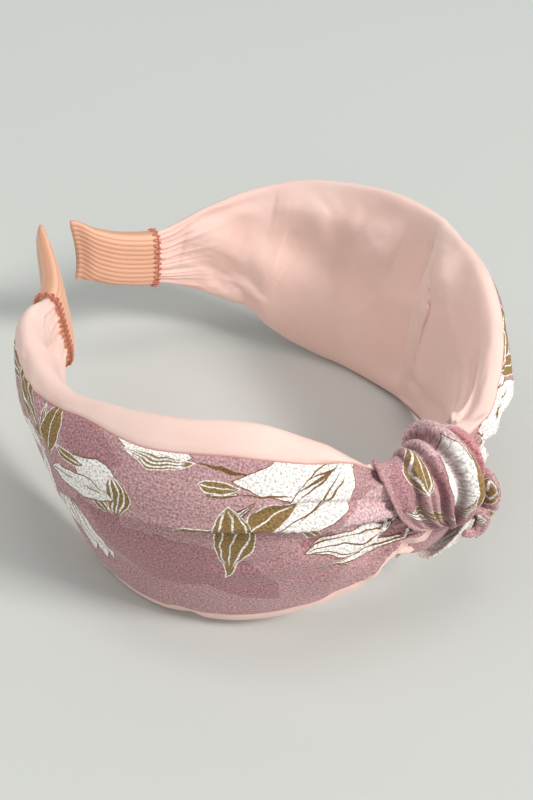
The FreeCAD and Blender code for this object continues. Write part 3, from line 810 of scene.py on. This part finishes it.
def pleated(across, along):
    """How far pleats lift the turn in mm, and where painted shade darkens its creases, at shares of its
    width and length.
    """
    lift = np.zeros(across.shape)
    painted_crease_shade = np.zeros(across.shape)
    for place, width, depth, on_top, start, end in PLEATS:
        drift = place + 0.02 * np.sin(6 * along + 9 * place)
        fade = smooth(start - 0.04, start + 0.04, along) * (1 - smooth(end - 0.12, end, along))
        line = np.exp(-(((across - drift) / 0.014) ** 2))
        # Painted shade: a dark line along each pleat's crease.
        painted_crease_shade = np.maximum(painted_crease_shade, fade * smooth(0.5, 3.0, depth) * line)
        apart = (across - drift) / width
        step = on_top * np.tanh(apart / 0.35) * np.exp(-np.abs(apart) / 2.4) / 2
        lift += depth * fade * (step - 0.35 * np.exp(-(apart**2)))
    ripple = np.sin(2 * math.pi * (7.3 * across + 0.3 * np.sin(5 * along)))
    lift += 0.35 * ripple * (1 - smooth(0.1, 0.35, along))
    return lift, painted_crease_shade


def bump_at(middle, reach, value):
    """A soft bump of height 1 about a middle."""
    return np.exp(-(((value - middle) / reach) ** 2))


def knot_turn():
    """The turn of printed cloth over the crown, fanned at the top and gathered low at the front."""
    along, across = np.meshgrid(np.linspace(0, 1, 190), np.linspace(0, 1, 130), indexing="ij")
    left = through(TURN_LEFT, along)
    right = through(TURN_RIGHT, along)
    place = (left + (right - left) * across) * MM
    rise = smooth(-0.12, 0.72, across) ** 0.85
    fall = 1 - smooth(0.86, 1.05, across) ** 1.5
    height = TURN_EDGE + (through(TURN_HEIGHT, along) - TURN_EDGE) * rise * fall
    front = smooth(0.06, 0.2, along) * (1 - smooth(0.34, 0.42, along))
    over_top = smooth(0.32, 0.42, along) * (1 - smooth(0.46, 0.62, along))
    height = height + ROLL_RISE * bump_at(0.66, 0.10, across) * front
    height = height + HOOD_RISE * bump_at(0.7, 0.2, across) * over_top
    pleats, painted_crease_shade = pleated(across, along)
    height = height + PLEAT_STRENGTH * pleats * smooth(0, 0.06, across) * smooth(0, 0.06, 1 - across)
    tucked = EDGE_TUCK * bump_at(0.0, 0.16, across) * smooth(0.16, 0.3, along)
    height = np.maximum(height, LEAST_HEIGHT) - tucked
    points = off_band(place, KNOT_START + along, height * MM)
    points = rounded_grid(points, 1)
    inner = off_band(place, KNOT_START + along, (height - TURN_THICKNESS) * MM)
    # The third value is how much painted crease shade each point gets.
    cloth = np.stack([KNOT_CLOTH_U + across * TURN_CLOTH_WIDTH, along * TURN_CLOTH_LENGTH, painted_crease_shade], -1)
    return shell("knot_wrap_cloth", points, inner, cloth)


def knot_frame(points):
    """Points given in mm from the crown's middle: along +X, outwards and up."""
    points = np.asarray(points, float)
    place = CENTRE + np.array([0, -RADIUS, 0])
    return place + np.stack([points[..., 0], -points[..., 1], points[..., 2]], -1) * MM


# Each roll: name, radius, then the points that it runs through, all in mm, in knot_frame's order.
SIDE_ROLLS = [
    ("gold", 2.2, [(3, 10, 6), (6, 11.5, 1), (7, 11.5, -4), (6, 10, -9), (2, 8.5, -12)]),
    ("white", 2.0, [(4, 8.5, 6), (8.8, 9, 0), (8.8, 9, -7), (6, 8, -12), (2, 8, -13)]),
    ("loop", 1.7, [(0.5, 9.5, -3), (3, 12, -5.5), (4, 12, -8.5), (2, 11, -11.5), (-1, 9.5, -10.5)]),
]


ROLL_STATIONS = 70
ROLL_POINTS = 40


def side_rolls():
    """The twisted rolls of cloth at the knot's right side."""
    rolls = []
    for number, (name, radius, line) in enumerate(SIDE_ROLLS):
        path = knot_frame(curve_through(line, ROLL_STATIONS))
        t = np.linspace(0, 1, ROLL_STATIONS)
        swell = radius * MM * (0.35 + 0.65 * np.sin(math.pi * np.clip(0.06 + 0.88 * t, 0, 1)) ** 0.7)
        rings = thread_rings(path, swell, ROLL_POINTS)
        turn = np.linspace(0, 2 * math.pi, ROLL_POINTS, endpoint=False)[None, :]
        twist = turn * 2 + t[:, None] * (9 + number) + number
        groove = 1 - 0.16 * np.abs(np.cos(twist)) ** 8 + 0.05 * np.sin(3 * turn + 5 * t[:, None])
        rings = path[:, None] + (rings - path[:, None]) * groove[..., None]
        cloth = np.stack([
            KNOT_CLOTH_U + 50 + 12 * number + 0 * twist + 5 * turn / math.pi,
            10 * t[:, None] + 0 * turn,
        ], -1)
        rolls.append(loops(name, rings, cloth))
    return joined("knot_side_fold_cloth", rolls)


TAIL_LINE = [(1, 10, -6), (1.5, 9.5, -9.5), (0, 8, -13.5), (-2.5, 5.5, -16.8), (-5, 1.5, -18.8)]
TAIL_WIDTH = 7.2
TAIL_STATIONS = 60


def under_fold():
    """The short tail below the gather: a white petal of cloth, folded once along its middle."""
    t, w = np.meshgrid(np.linspace(0, 1, TAIL_STATIONS), np.linspace(-1, 1, 46), indexing="ij")
    middle = curve_through(TAIL_LINE, TAIL_STATIONS)
    width = TAIL_WIDTH * np.sin(math.pi * (0.14 + 0.82 * t)) ** 0.9 * (0.6 + 0.5 * t)
    place = middle[:, None] + np.stack([w * width, -0.12 * width * w**2, 0.22 * w * width], -1)
    fold = 0.9 * bump_at(-0.15, 0.12, w) - 0.5 * bump_at(0.45, 0.16, w)
    points = knot_frame(place)
    normal = grid_normals(points, False)
    facing = np.sign((normal * np.array([0.0, -1.0, -1.0])).sum(-1, keepdims=True))
    points = points + normal * facing * (fold * MM)[..., None]
    cloth = np.stack([KNOT_CLOTH_U + 100 + 8 * w, 24 * t], -1)
    return shell("knot_under_fold_cloth", points, points - normal * facing * CLOTH, cloth)


def hand_tacks():
    """Four small hand stitches on the inside of the knot."""
    stitches = []
    for number in range(4):
        share = 0.66 + 0.045 * number
        lean = 0.5 * (-1) ** number
        a = np.linspace(-1.6, 1.6, 14)
        place = (-3 + a * 0.5 + lean) * MM
        grid_place = np.stack([place, place + 0.4 * MM])
        grid_share = KNOT_START + share + np.stack([a, a]) * 0.006
        arc = 3.0 + 0.55 * (1 - (a / 1.6) ** 2)
        line = off_band(grid_place, grid_share, np.stack([arc, arc]) * MM)[0]
        stitches.append(loops("stitch", thread_rings(line, 0.3 * MM)))
    return joined("knot_tacks_thread", stitches)


# ---------------------------------------------------------------- colours and shader helpers


def rgb(red, green, blue):
    """A linear colour from everyday 0-255 values."""
    parts = [c / 255 for c in (red, green, blue)]
    return [c / 12.92 if c <= 0.04045 else ((c + 0.055) / 1.055) ** 2.4 for c in parts] + [1.0]


MAUVE = rgb(202, 162, 163)
MAUVE_DEEP = rgb(178, 130, 135)
MAUVE_EDGE = rgb(168, 112, 120)
# Painted shade: the colour that the cloth's creases are darkened towards.
CREASE_SHADE_PAINT = rgb(104, 62, 66)
ROSE = rgb(210, 142, 148)
LILAC = rgb(220, 184, 187)
CREAM = rgb(250, 245, 240)
OLIVE = rgb(150, 120, 72)
BROWN = rgb(122, 88, 45)
BLUSH = rgb(253, 221, 211)
BLUSH_DEEP = rgb(249, 206, 193)
APRICOT = rgb(240, 190, 160)
# Painted shade: the colour that the ribbon's rib valleys are darkened towards.
APRICOT_RIB_SHADE = rgb(212, 152, 122)
SALMON = rgb(214, 130, 105)
ROSE_THREAD = rgb(226, 160, 152)


class Nodes:
    """Short ways to add nodes to a tree and link them."""

    def __init__(self, tree):
        self.tree = tree

    def add(self, kind, settings=(), **inputs):
        node = self.tree.nodes.new(kind)
        for name, value in dict(settings).items():
            setattr(node, name, value)
        for name, value in inputs.items():
            self.feed(node.inputs[name.replace("_", " ")], value)
        return node

    def feed(self, socket, value):
        if isinstance(value, bpy.types.NodeSocket):
            self.tree.links.new(value, socket)
        else:
            socket.default_value = value

    def math(self, operation, *values, clamp=False):
        node = self.tree.nodes.new("ShaderNodeMath")
        node.operation = operation
        node.use_clamp = clamp
        for socket, value in zip(node.inputs, values):
            self.feed(socket, value)
        return node.outputs[0]

    def vector(self, operation, *values):
        node = self.tree.nodes.new("ShaderNodeVectorMath")
        node.operation = operation
        for socket, value in zip(node.inputs, values):
            self.feed(socket, value)
        return node.outputs[0]

    def mix(self, share, first, second):
        node = self.tree.nodes.new("ShaderNodeMix")
        node.data_type = "RGBA"
        node.clamp_factor = True
        self.feed(node.inputs[0], share)
        self.feed(node.inputs[6], first)
        self.feed(node.inputs[7], second)
        return node.outputs[2]

    def noise(self, place, scale, detail=2.0, roughness=0.5):
        return self.add(
            "ShaderNodeTexNoise", Vector=place, Scale=scale, Detail=detail, Roughness=roughness
        ).outputs["Fac"]

    def cloth(self):
        """Place on the flat cloth, in mm."""
        return self.add("ShaderNodeAttribute", {"attribute_name": "cloth"}).outputs["Vector"]

    def place(self):
        """Place on the piece, in mm."""
        spot = self.add("ShaderNodeTexCoord").outputs["Object"]
        return self.vector("MULTIPLY", spot, (1000.0, 1000.0, 1000.0))


def new_material(name, roughness, sheen=0.0):
    material = bpy.data.materials.new(name)
    material.use_nodes = True
    nodes = Nodes(material.node_tree)
    shader = material.node_tree.nodes["Principled BSDF"]
    shader.inputs["Roughness"].default_value = roughness
    shader.inputs["Sheen Weight"].default_value = sheen
    shader.inputs["Sheen Roughness"].default_value = 0.4
    return material, nodes, shader


def bumped(nodes, shader, height, distance, strength=1.0):
    bump = nodes.add("ShaderNodeBump", Height=height, Distance=distance, Strength=strength)
    nodes.feed(shader.inputs["Normal"], bump.outputs[0])


def speckled(nodes, colour, place, scale, amount):
    """A colour made slightly lighter and darker by fine grain."""
    grain = nodes.noise(place, scale, 3.0, 0.7)
    value = nodes.math("MULTIPLY_ADD", nodes.math("SUBTRACT", grain, 0.5), amount, 1.0)
    shade = nodes.add("ShaderNodeHueSaturation", Value=value, Color=colour)
    return shade.outputs[0], grain


# ---------------------------------------------------------------- the printed pattern


def motif_group():
    """Paints one leaf, petal or stem over a colour.

    The shape is a lens along its own length: where it lies, how long and wide it is, how much it
    bends and tapers, and how many lines run along it all come in as inputs, in cloth mm.
    """
    tree = bpy.data.node_groups.new("printed shape", "ShaderNodeTree")
    wanted = [
        ("Base", "Color"), ("Place", "Vector"), ("Centre", "Vector"), ("Turn", "Vector"),
        ("Size", "Vector"), ("Bend", "Float"), ("Taper", "Float"), ("Lines", "Float"),
        ("Line Width", "Float"), ("Rim", "Float"), ("Fill", "Color"), ("Line Colour", "Color"),
        ("Rim Colour", "Color"),
    ]
    for name, kind in wanted:
        tree.interface.new_socket(name, in_out="INPUT", socket_type=f"NodeSocket{kind}")
    tree.interface.new_socket("Colour", in_out="OUTPUT", socket_type="NodeSocketColor")
    nodes = Nodes(tree)
    given = tree.nodes.new("NodeGroupInput").outputs
    mapping = nodes.add("ShaderNodeMapping", {"vector_type": "TEXTURE"})
    for socket, name in zip(mapping.inputs, ("Place", "Centre", "Turn", "Size")):
        nodes.feed(socket, given[name])
    split = nodes.add("ShaderNodeSeparateXYZ", Vector=mapping.outputs[0])
    x = split.outputs[0]
    square = nodes.math("MULTIPLY", x, x)
    y = nodes.math("MULTIPLY_ADD", given["Bend"], nodes.math("SUBTRACT", square, 0.4), split.outputs[1])
    lens = nodes.math("MAXIMUM", nodes.math("SUBTRACT", 1.0, square), 0.0)
    taper = nodes.math("MAXIMUM", nodes.math("MULTIPLY_ADD", x, given["Taper"], 1.0), 0.0)
    lens = nodes.math("MULTIPLY", lens, taper)
    half_width = nodes.add("ShaderNodeSeparateXYZ", Vector=given["Size"]).outputs[1]
    depth = nodes.math("MULTIPLY", nodes.math("SUBTRACT", lens, nodes.math("ABSOLUTE", y)), half_width)
    inside = nodes.math("DIVIDE", depth, 0.12, clamp=True)
    rim = nodes.math("DIVIDE", nodes.math("SUBTRACT", given["Rim"], depth), 0.1, clamp=True)
    across = nodes.math("DIVIDE", y, nodes.math("MAXIMUM", lens, 0.05))
    lane = nodes.math("MULTIPLY", across, given["Lines"])
    off_lane = nodes.math("ABSOLUTE", nodes.math("SUBTRACT", lane, nodes.math("ROUND", lane)))
    lane_count = nodes.math("MAXIMUM", given["Lines"], 0.01)
    lane_width = nodes.math("DIVIDE", nodes.math("MULTIPLY", lens, half_width), lane_count)
    off_mm = nodes.math("MULTIPLY", off_lane, lane_width)
    reach = nodes.math("SUBTRACT", 0.82, nodes.math("ABSOLUTE", nodes.math("SUBTRACT", x, -0.12)))
    line = nodes.math("DIVIDE", nodes.math("SUBTRACT", given["Line Width"], off_mm), 0.1, clamp=True)
    line = nodes.math("MULTIPLY", line, nodes.math("MULTIPLY", reach, 8.0, clamp=True))
    colour = nodes.mix(line, given["Fill"], given["Line Colour"])
    colour = nodes.mix(rim, colour, given["Rim Colour"])
    colour = nodes.mix(inside, given["Base"], colour)
    out = tree.nodes.new("NodeGroupOutput")
    nodes.feed(out.inputs[0], colour)
    return tree


# kind: fill, lines along it, line width and rim in mm, line colour, rim colour, taper
KINDS = {
    "leaf": (OLIVE, 1.0, 0.20, 0.38, CREAM, CREAM, -0.25),
    "striped": (OLIVE, 2.0, 0.26, 0.34, CREAM, CREAM, -0.15),
    "petal": (CREAM, 1.0, 0.20, 0.40, BROWN, BROWN, 0.25),
    "plain_petal": (CREAM, 0.0, 0.0, 0.36, BROWN, BROWN, 0.3),
    "bud": (CREAM, 1.6, 0.20, 0.36, BROWN, BROWN, -0.35),
    "drop": (OLIVE, 1.6, 0.26, 0.38, CREAM, CREAM, -0.6),
    "rose": (ROSE, 0.0, 0.0, 0.2, MAUVE_EDGE, MAUVE_EDGE, 0.2),
    "lilac": (LILAC, 0.0, 0.0, 0.0, LILAC, LILAC, 0.0),
    "stem": (BROWN, 0.0, 0.0, 0.0, BROWN, BROWN, 0.0),
    "shade": (MAUVE_DEEP, 0.0, 0.0, 0.22, MAUVE_EDGE, MAUVE_EDGE, 0.2),
}

# Each printed shape: kind, where it starts and ends and its width, in mm of flat cloth, and its bend.
# Across is the distance from the crown's middle, the left arm's cloth being positive.
SPRAY = [
    ("shade", 110, 21, 86, 17, 9, 0.2),
    ("shade", 96, -2, 62, -13, 15, 0.3),
    ("shade", 78, 1, 47, -16, 13, -0.3),
    ("shade", 46, 4, 28, -2, 6, 0.3),
    ("shade", 58, 26, 38, 12, 5, 0.3),
    ("lilac", 42, 7, 10, 10, 16, 0.1),
    ("plain_petal", 91, 24, 70, 24.5, 6, 0.2),
    ("striped", 87, 21.6, 69, 23.2, 3.6, 0.5),
    ("stem", 70, 23.6, 58.5, 23.6, 1.0, 0.5),
    ("plain_petal", 63, 21.5, 29, 27, 11, 0.1),
    ("petal", 55, 8.5, 33, 26, 12.5, 0.15),
    ("stem", 61, 19.4, 49, 20.0, 0.6, -0.4),
    ("stem", 49.5, 20, 37, 26, 0.75, 0.3),
    ("stem", 49, 18.2, 37.5, 26, 0.6, -0.2),
    ("stem", 48.5, 12.3, 37, 25, 0.6, 0.2),
    ("stem", 47, 22.6, 38, 25, 0.5, 0.4),
    ("bud", 66.5, 17.2, 60, 19.6, 2.4, -0.3),
    ("leaf", 69, 18.8, 60, 20.5, 3.6, 0.3),
    ("bud", 62, 11.2, 56, 18.6, 1.9, 0.2),
    ("leaf", 58.5, 9.6, 48, 19, 6.2, -0.25),
    ("leaf", 73, 6.0, 60, 11, 3.4, 0.5),
    ("drop", 60.6, 16, 60.2, -9.4, 9.0, -0.3),
    ("leaf", 46.5, 10, 40.5, 4, 3.4, 0.1),
    ("bud", 44.5, 0.2, 13, 3.5, 6.4, 0.35),
    ("bud", 41.5, -4.2, 13, -4.5, 3.2, -0.5),
    ("striped", 152, 5, 126, 14, 8, -0.2),
    ("striped", 134, 15, 110, 9.5, 7.5, -0.2),
    ("striped", 140, -4, 112, 4, 5.5, 0.2),
    ("plain_petal", 126, 4, 108, 6.5, 5, 0.2),
    ("leaf", 114, 17.5, 106.5, 9.5, 2.6, 0.2),
    ("leaf", 109.5, 21, 104.0, 8.5, 7.2, 0.4),
    ("petal", 112, 8, 103, -9, 6, 0.3),
    ("petal", 107, -4, 95, -23, 7, 0.1),
    ("petal", 104.5, -3, 90.5, -21.5, 7.5, 0.15),
    ("petal", 101, -3, 88, -20.5, 5.5, -0.15),
    ("shade", 96, 3.5, 84, -3, 6, 0.2),
    ("plain_petal", 99, 13.5, 86, 12.0, 8, 0.3),
    ("leaf", 104, 12.5, 95, 13.5, 2.8, 0.4),
    ("striped", 87.5, 14.5, 84, 4.2, 6, -0.5),
    ("leaf", 93, 6.5, 84.5, 4.6, 2.8, 0.3),
    ("petal", 106, 4.5, 86, 9.0, 7, -0.45),
    ("striped", 136, 4, 112, 0, 4.5, -0.3),
    ("plain_petal", 130, -8, 108, -14, 7, 0.3),
    ("leaf", 146, -8, 126, -14, 4.5, 0.3),
]
FAR_SPRAY = [
    ("shade", -40, 14, -66, 24, 14, 0.2),
    ("shade", -66, -4, -100, -14, 16, -0.3),
    ("shade", -104, 12, -132, 4, 12, 0.3),
    ("plain_petal", -5, 4, -34, -9, 14, 0.2),
    ("plain_petal", -8, 8, -38, 8, 13, -0.15),
    ("petal", -22, 14, -42, 22, 9, 0.3),
    ("stem", -10, 10, -33, 15, 0.6, 0.5),
    ("stem", -10, 8, -34, 11.5, 0.6, 0.5),
    ("stem", -12, 9, -32, 18, 0.6, -0.3),
    ("stem", -9, 5, -30, -4, 0.55, 0.4),
    ("striped", -33, 14, -50, 23, 6.5, 0.3),
    ("leaf", -30, 17, -46, 9, 4.5, 0.3),
    ("striped", -44, 20, -62, 16, 5.5, -0.3),
    ("leaf", -48, 8, -66, 12, 5.5, 0.3),
    ("bud", -46, -4, -70, -10, 7.5, 0.2),
    ("leaf", -40, -10, -52, -24, 6, -0.3),
    ("plain_petal", -74, 18, -98, 24, 9, 0.2),
    ("petal", -74, 12, -96, 8, 9, -0.3),
    ("striped", -96, 20, -112, 10, 6, 0.3),
    ("leaf", -70, 14, -60, 2, 5.5, 0.3),
    ("plain_petal", -88, -14, -112, -20, 9, 0.2),
    ("leaf", -104, -6, -122, -12, 5, 0.4),
    ("striped", -84, -22, -66, -28, 5.5, 0.3),
    ("leaf", -118, 14, -138, 6, 5, -0.3),
    ("plain_petal", -126, 0, -148, -4, 7, 0.2),
    ("bud", -60, -20, -82, -22, 5, 0.2),
]
KNOT_SPRAY = [
    ("lilac", 302, 41, 348, 41, 29, 0.0),
    ("shade", 303, 6, 305, 32, 6, 0.2),
    ("shade", 314, 6, 317, 30, 4, 0.2),
    ("rose", 329.5, 3, 331.5, 33, 9, 0.1),
    ("striped", 309.5, 21, 311.5, 36, 6.5, 0.5),
    ("plain_petal", 318.5, 11, 320.5, 31.5, 7.5, 0.2),
    ("leaf", 323.2, 10, 324.6, 31, 4.6, -0.3),
    ("leaf", 304, 18, 315, 9, 5.0, 0.3),
    ("petal", 301.5, 19, 309, 8, 3.0, 0.3),
    ("striped", 314, 9.5, 325, 12, 4.5, 0.2),
    ("plain_petal", 306, 46, 318, 62, 10, 0.2),
    ("leaf", 318, 50, 332, 58, 6, 0.3),
    ("striped", 312, 72, 328, 82, 7, 0.3),
    ("striped", 347, -2, 359, 5, 5.5, 0.2),
    ("leaf", 348, 6, 360, 9, 4.5, 0.1),
    ("plain_petal", 358, -3, 372, 12, 9, 0.1),
    ("striped", 361, 0, 371, 3, 3, 0.1),
    ("leaf", 361, 5, 371, 8, 2.6, 0.1),
    ("striped", 373, 2, 383, 8, 4, 0.1),
    ("plain_petal", 384, 12, 416, 12, 70, 0.0),
    ("stem", 401, 3, 402, 19, 0.7, 0.5),
    ("stem", 396.5, 8, 396, 22, 0.35, 0.5),
]


def printed(material_name, spray):
    """Mauve crepe with tonal petals, white lilies and olive leaves, brown and white outlined, and
    painted shade along its creases.
    """
    material, nodes, shader = new_material(material_name, 0.82, 0.25)
    cloth = nodes.cloth()
    painted_crease_shade = nodes.add("ShaderNodeSeparateXYZ", Vector=cloth).outputs[2]
    flat = nodes.vector("MULTIPLY", cloth, (1.0, 1.0, 0.0))
    ruffle = nodes.add("ShaderNodeTexNoise", Vector=flat, Scale=0.11, Detail=2.0).outputs["Color"]
    shift = nodes.vector("MULTIPLY", nodes.vector("SUBTRACT", ruffle, (0.5, 0.5, 0.5)), (4.5, 4.5, 0.0))
    place = nodes.vector("ADD", flat, shift)
    cloud = nodes.noise(flat, 0.035, 2.0)
    colour = nodes.mix(nodes.math("MULTIPLY_ADD", cloud, 1.6, -0.45, clamp=True), MAUVE, MAUVE_DEEP)
    for kind, x0, y0, x1, y1, widest, bend in spray:
        fill, lines, line_width, rim, line_colour, rim_colour, taper = KINDS[kind]
        shape = nodes.add("ShaderNodeGroup", {"node_tree": PRINTED_SHAPE})
        given = {
            "Base": colour, "Place": place, "Centre": ((x0 + x1) / 2, (y0 + y1) / 2, 0.0),
            "Turn": (0.0, 0.0, math.atan2(y1 - y0, x1 - x0)),
            "Size": (math.hypot(x1 - x0, y1 - y0) / 2, widest / 2, 1.0),
            "Bend": bend, "Taper": taper, "Lines": lines, "Line Width": line_width, "Rim": rim,
            "Fill": fill, "Line Colour": line_colour, "Rim Colour": rim_colour,
        }
        for name, value in given.items():
            nodes.feed(shape.inputs[name], value)
        colour = shape.outputs[0]
    # Painted shade: the crease lines are darkened towards the crease shade colour.
    colour = nodes.mix(nodes.math("MULTIPLY", painted_crease_shade, 0.8), colour, CREASE_SHADE_PAINT)
    colour, grain = speckled(nodes, colour, flat, 1.8, 3.4)
    nodes.feed(shader.inputs["Base Color"], colour)
    crepe = nodes.noise(flat, 1.5, 2.0, 0.6)
    bumped(nodes, shader, nodes.math("ADD", grain, crepe), 0.12 * MM, 0.75)
    return material


# ---------------------------------------------------------------- the other materials


def satin():
    """Soft blush satin: a fine weave, a low sheen and faint clouding."""
    material, nodes, shader = new_material("blush satin", 0.55, 0.35)
    flat = nodes.cloth()
    cloud = nodes.noise(flat, 0.05, 3.0)
    colour = nodes.mix(nodes.math("MULTIPLY_ADD", cloud, 1.4, -0.4, clamp=True), BLUSH, BLUSH_DEEP)
    colour, _ = speckled(nodes, colour, flat, 2.2, 0.07)
    nodes.feed(shader.inputs["Base Color"], colour)
    weave = [
        nodes.add(
            "ShaderNodeTexWave", {"bands_direction": direction}, Vector=flat, Scale=1.1, Distortion=0.6
        ).outputs["Fac"]
        for direction in ("X", "Y")
    ]
    slub = nodes.noise(flat, 0.5, 3.0)
    height = nodes.math("ADD", nodes.math("MULTIPLY", weave[0], weave[1]), slub)
    bumped(nodes, shader, height, 0.06 * MM, 0.5)
    return material


def ribbon():
    """Apricot ribbed ribbon, with painted shade down in its ribs."""
    material, nodes, shader = new_material("apricot ribbon", 0.6, 0.3)
    flat = nodes.cloth()
    split = nodes.add("ShaderNodeSeparateXYZ", Vector=flat)
    rib = nodes.math("COSINE", nodes.math("MULTIPLY", split.outputs[1], 2 * math.pi / RIB_PITCH))
    low = nodes.math("POWER", nodes.math("MULTIPLY_ADD", rib, 0.5, 0.5), 3.0)
    # Painted shade: the ribbon darkens down in its rib valleys.
    colour = nodes.mix(nodes.math("MULTIPLY", low, 0.8), APRICOT, APRICOT_RIB_SHADE)
    colour, grain = speckled(nodes, colour, flat, 2.0, 0.16)
    nodes.feed(shader.inputs["Base Color"], colour)
    picks = nodes.math("SINE", nodes.math("MULTIPLY", split.outputs[0], 2 * math.pi / PICK_PITCH))
    bumped(nodes, shader, nodes.math("MULTIPLY_ADD", picks, 0.06, grain), 0.08 * MM, 0.5)
    return material


def thread(name, colour):
    """Twisted thread with a soft gloss."""
    material, nodes, shader = new_material(name, 0.5, 0.3)
    place = nodes.place()
    shade, grain = speckled(nodes, colour, place, 3.0, 0.35)
    nodes.feed(shader.inputs["Base Color"], shade)
    ply = nodes.add(
        "ShaderNodeTexWave", {"bands_direction": "DIAGONAL"}, Vector=place, Scale=1.6, Distortion=0.4
    ).outputs["Fac"]
    bumped(nodes, shader, nodes.math("ADD", ply, grain), 0.08 * MM, 0.8)
    return material


def hoop_plastic():
    """The matte moulded strip inside the cloth."""
    material, nodes, shader = new_material("hoop plastic", 0.5)
    place = nodes.place()
    colour, grain = speckled(nodes, rgb(236, 228, 220), place, 0.6, 0.06)
    nodes.feed(shader.inputs["Base Color"], colour)
    bumped(nodes, shader, grain, 0.03 * MM, 0.4)
    return material


def floor_material():
    """Pale grey with very faint clouding."""
    material, nodes, shader = new_material("pale floor", 0.7)
    place = nodes.place()
    cloud = nodes.noise(place, 0.004, 2.0)
    nodes.feed(shader.inputs["Base Color"], nodes.mix(cloud, rgb(207, 210, 206), rgb(204, 206, 203)))
    return material


PRINTED_SHAPE = motif_group()
PRINTS = {
    "left": printed("lily print left", SPRAY),
    "right": printed("lily print right", FAR_SPRAY),
    "knot": printed("lily print knot", KNOT_SPRAY),
}
SATIN = satin()
RIBBON = ribbon()
OVERCAST = thread("salmon thread", SALMON)
SEAM_PINK = thread("rose thread", ROSE_THREAD)
PLASTIC = hoop_plastic()


# ---------------------------------------------------------------- the pieces in their places


def dressed(piece, material, nodes):
    """A piece given its material, with the CAD nodes that it stands for hidden."""
    piece.data.materials.clear()
    piece.data.materials.append(material)
    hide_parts(*nodes)
    return piece


BEND_START = 14.0 * MM
BEND_END = 76.0 * MM


def bend_with(piece, side):
    """Bakes the piece's place into its mesh; the piece is not bent."""
    start, _ = spine(side, BEND_START)
    end, _ = spine(side, BEND_END)
    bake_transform(piece)


def arm(word, side):
    body = f"{word}_arm"
    (panel, lining), threads = arm_cloth(word, side)
    crown = word == "left"  # the left arm's pieces run on over the crown
    dressed(panel, PRINTS[word], [f"print_panel_{word}"] + ["print_crown"] * crown)
    dressed(lining, SATIN, [f"lining_{word}"] + ["lining_crown"] * crown)
    for place, piece in zip(("upper", "lower"), threads):
        dressed(piece, SEAM_PINK, [f"seam_{place}_{word}"])
    strip = dressed(hoop_strip(word, side), PLASTIC, [f"hoop_{word}"] + ["hoop_crown"] * crown)
    sleeve = dressed(tip_sleeve(word, side), RIBBON, [f"tip_sleeve_{word}"])
    stitches = dressed(overcasting(word, side), OVERCAST, [f"overcasting_{word}"])
    for piece in [panel, lining, strip] + threads:
        bend_with(piece, side)
    for piece in (sleeve, stitches):
        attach(piece, body)


def knot():
    turn = dressed(knot_turn(), PRINTS["knot"], ["knot_wrap"])
    roll = dressed(side_rolls(), PRINTS["knot"], ["knot_side_fold"])
    tail = dressed(under_fold(), PRINTS["knot"], ["knot_under_fold"])
    tacks = dressed(hand_tacks(), OVERCAST, ["knot_tacks"])
    for piece in (turn, roll, tail, tacks):
        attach(piece, "crown")


for word, side in SIDES.items():
    arm(word, side)
knot()


# ---------------------------------------------------------------- floor, light and camera


FLOOR_HALF_SIZE = 12.0
WORLD_STRENGTH = 0.42


def stage():
    mesh = bpy.data.meshes.new("floor")
    shape = bmesh.new()
    bmesh.ops.create_grid(shape, x_segments=8, y_segments=8, size=FLOOR_HALF_SIZE)
    shape.to_mesh(mesh)
    shape.free()
    mesh.materials.append(floor_material())
    floor = bpy.data.objects.new("floor", mesh)
    bpy.context.scene.collection.objects.link(floor)
    world = bpy.data.worlds.new("studio")
    world.use_nodes = True
    background = world.node_tree.nodes["Background"]
    background.inputs["Color"].default_value = rgb(236, 240, 238)
    background.inputs["Strength"].default_value = WORLD_STRENGTH
    bpy.context.scene.world = world


LIGHTS_AIM = Vector((0.0, 0.0, 0.03))


def softbox(name, place, size, power, colour):
    light = bpy.data.lights.new(name, "AREA")
    light.shape = "RECTANGLE"
    light.size = light.size_y = size
    light.energy = power
    light.color = colour[:3]
    lamp = bpy.data.objects.new(name, light)
    lamp.location = place
    lamp.rotation_euler = (LIGHTS_AIM - Vector(place)).to_track_quat("-Z", "Y").to_euler()
    bpy.context.scene.collection.objects.link(lamp)


CAMERA_AIM = Vector((-0.003, -0.006, 0.031))
CAMERA_PLACE = Vector((-0.2631, -0.1565, 0.2841))
CAMERA_ROLL = math.radians(9.0)
CAMERA_FRAME = 24.0
CAMERA_LENS = 45.0


def camera():
    data = bpy.data.cameras.new("camera")
    data.sensor_fit = "VERTICAL"
    data.sensor_height = CAMERA_FRAME
    data.lens = CAMERA_LENS
    eye = bpy.data.objects.new("camera", data)
    look = (CAMERA_AIM - CAMERA_PLACE).to_track_quat("-Z", "Y").to_matrix().to_4x4()
    eye.matrix_world = Matrix.Translation(CAMERA_PLACE) @ look @ Matrix.Rotation(CAMERA_ROLL, 4, "Z")
    bpy.context.scene.collection.objects.link(eye)
    bpy.context.scene.camera = eye


stage()
softbox("key", (0.5, -2.1, 2.0), 0.8, 60.0, rgb(255, 251, 248))
softbox("front", (-1.9, -1.1, 1.3), 1.2, 5.0, rgb(255, 252, 250))
softbox("top", (0.1, 0.2, 2.5), 0.8, 7.0, rgb(255, 253, 251))
softbox("fill", (-1.0, 1.0, 2.2), 1.8, 12.0, rgb(250, 252, 255))
camera()
bpy.context.scene.view_settings.view_transform = "Standard"
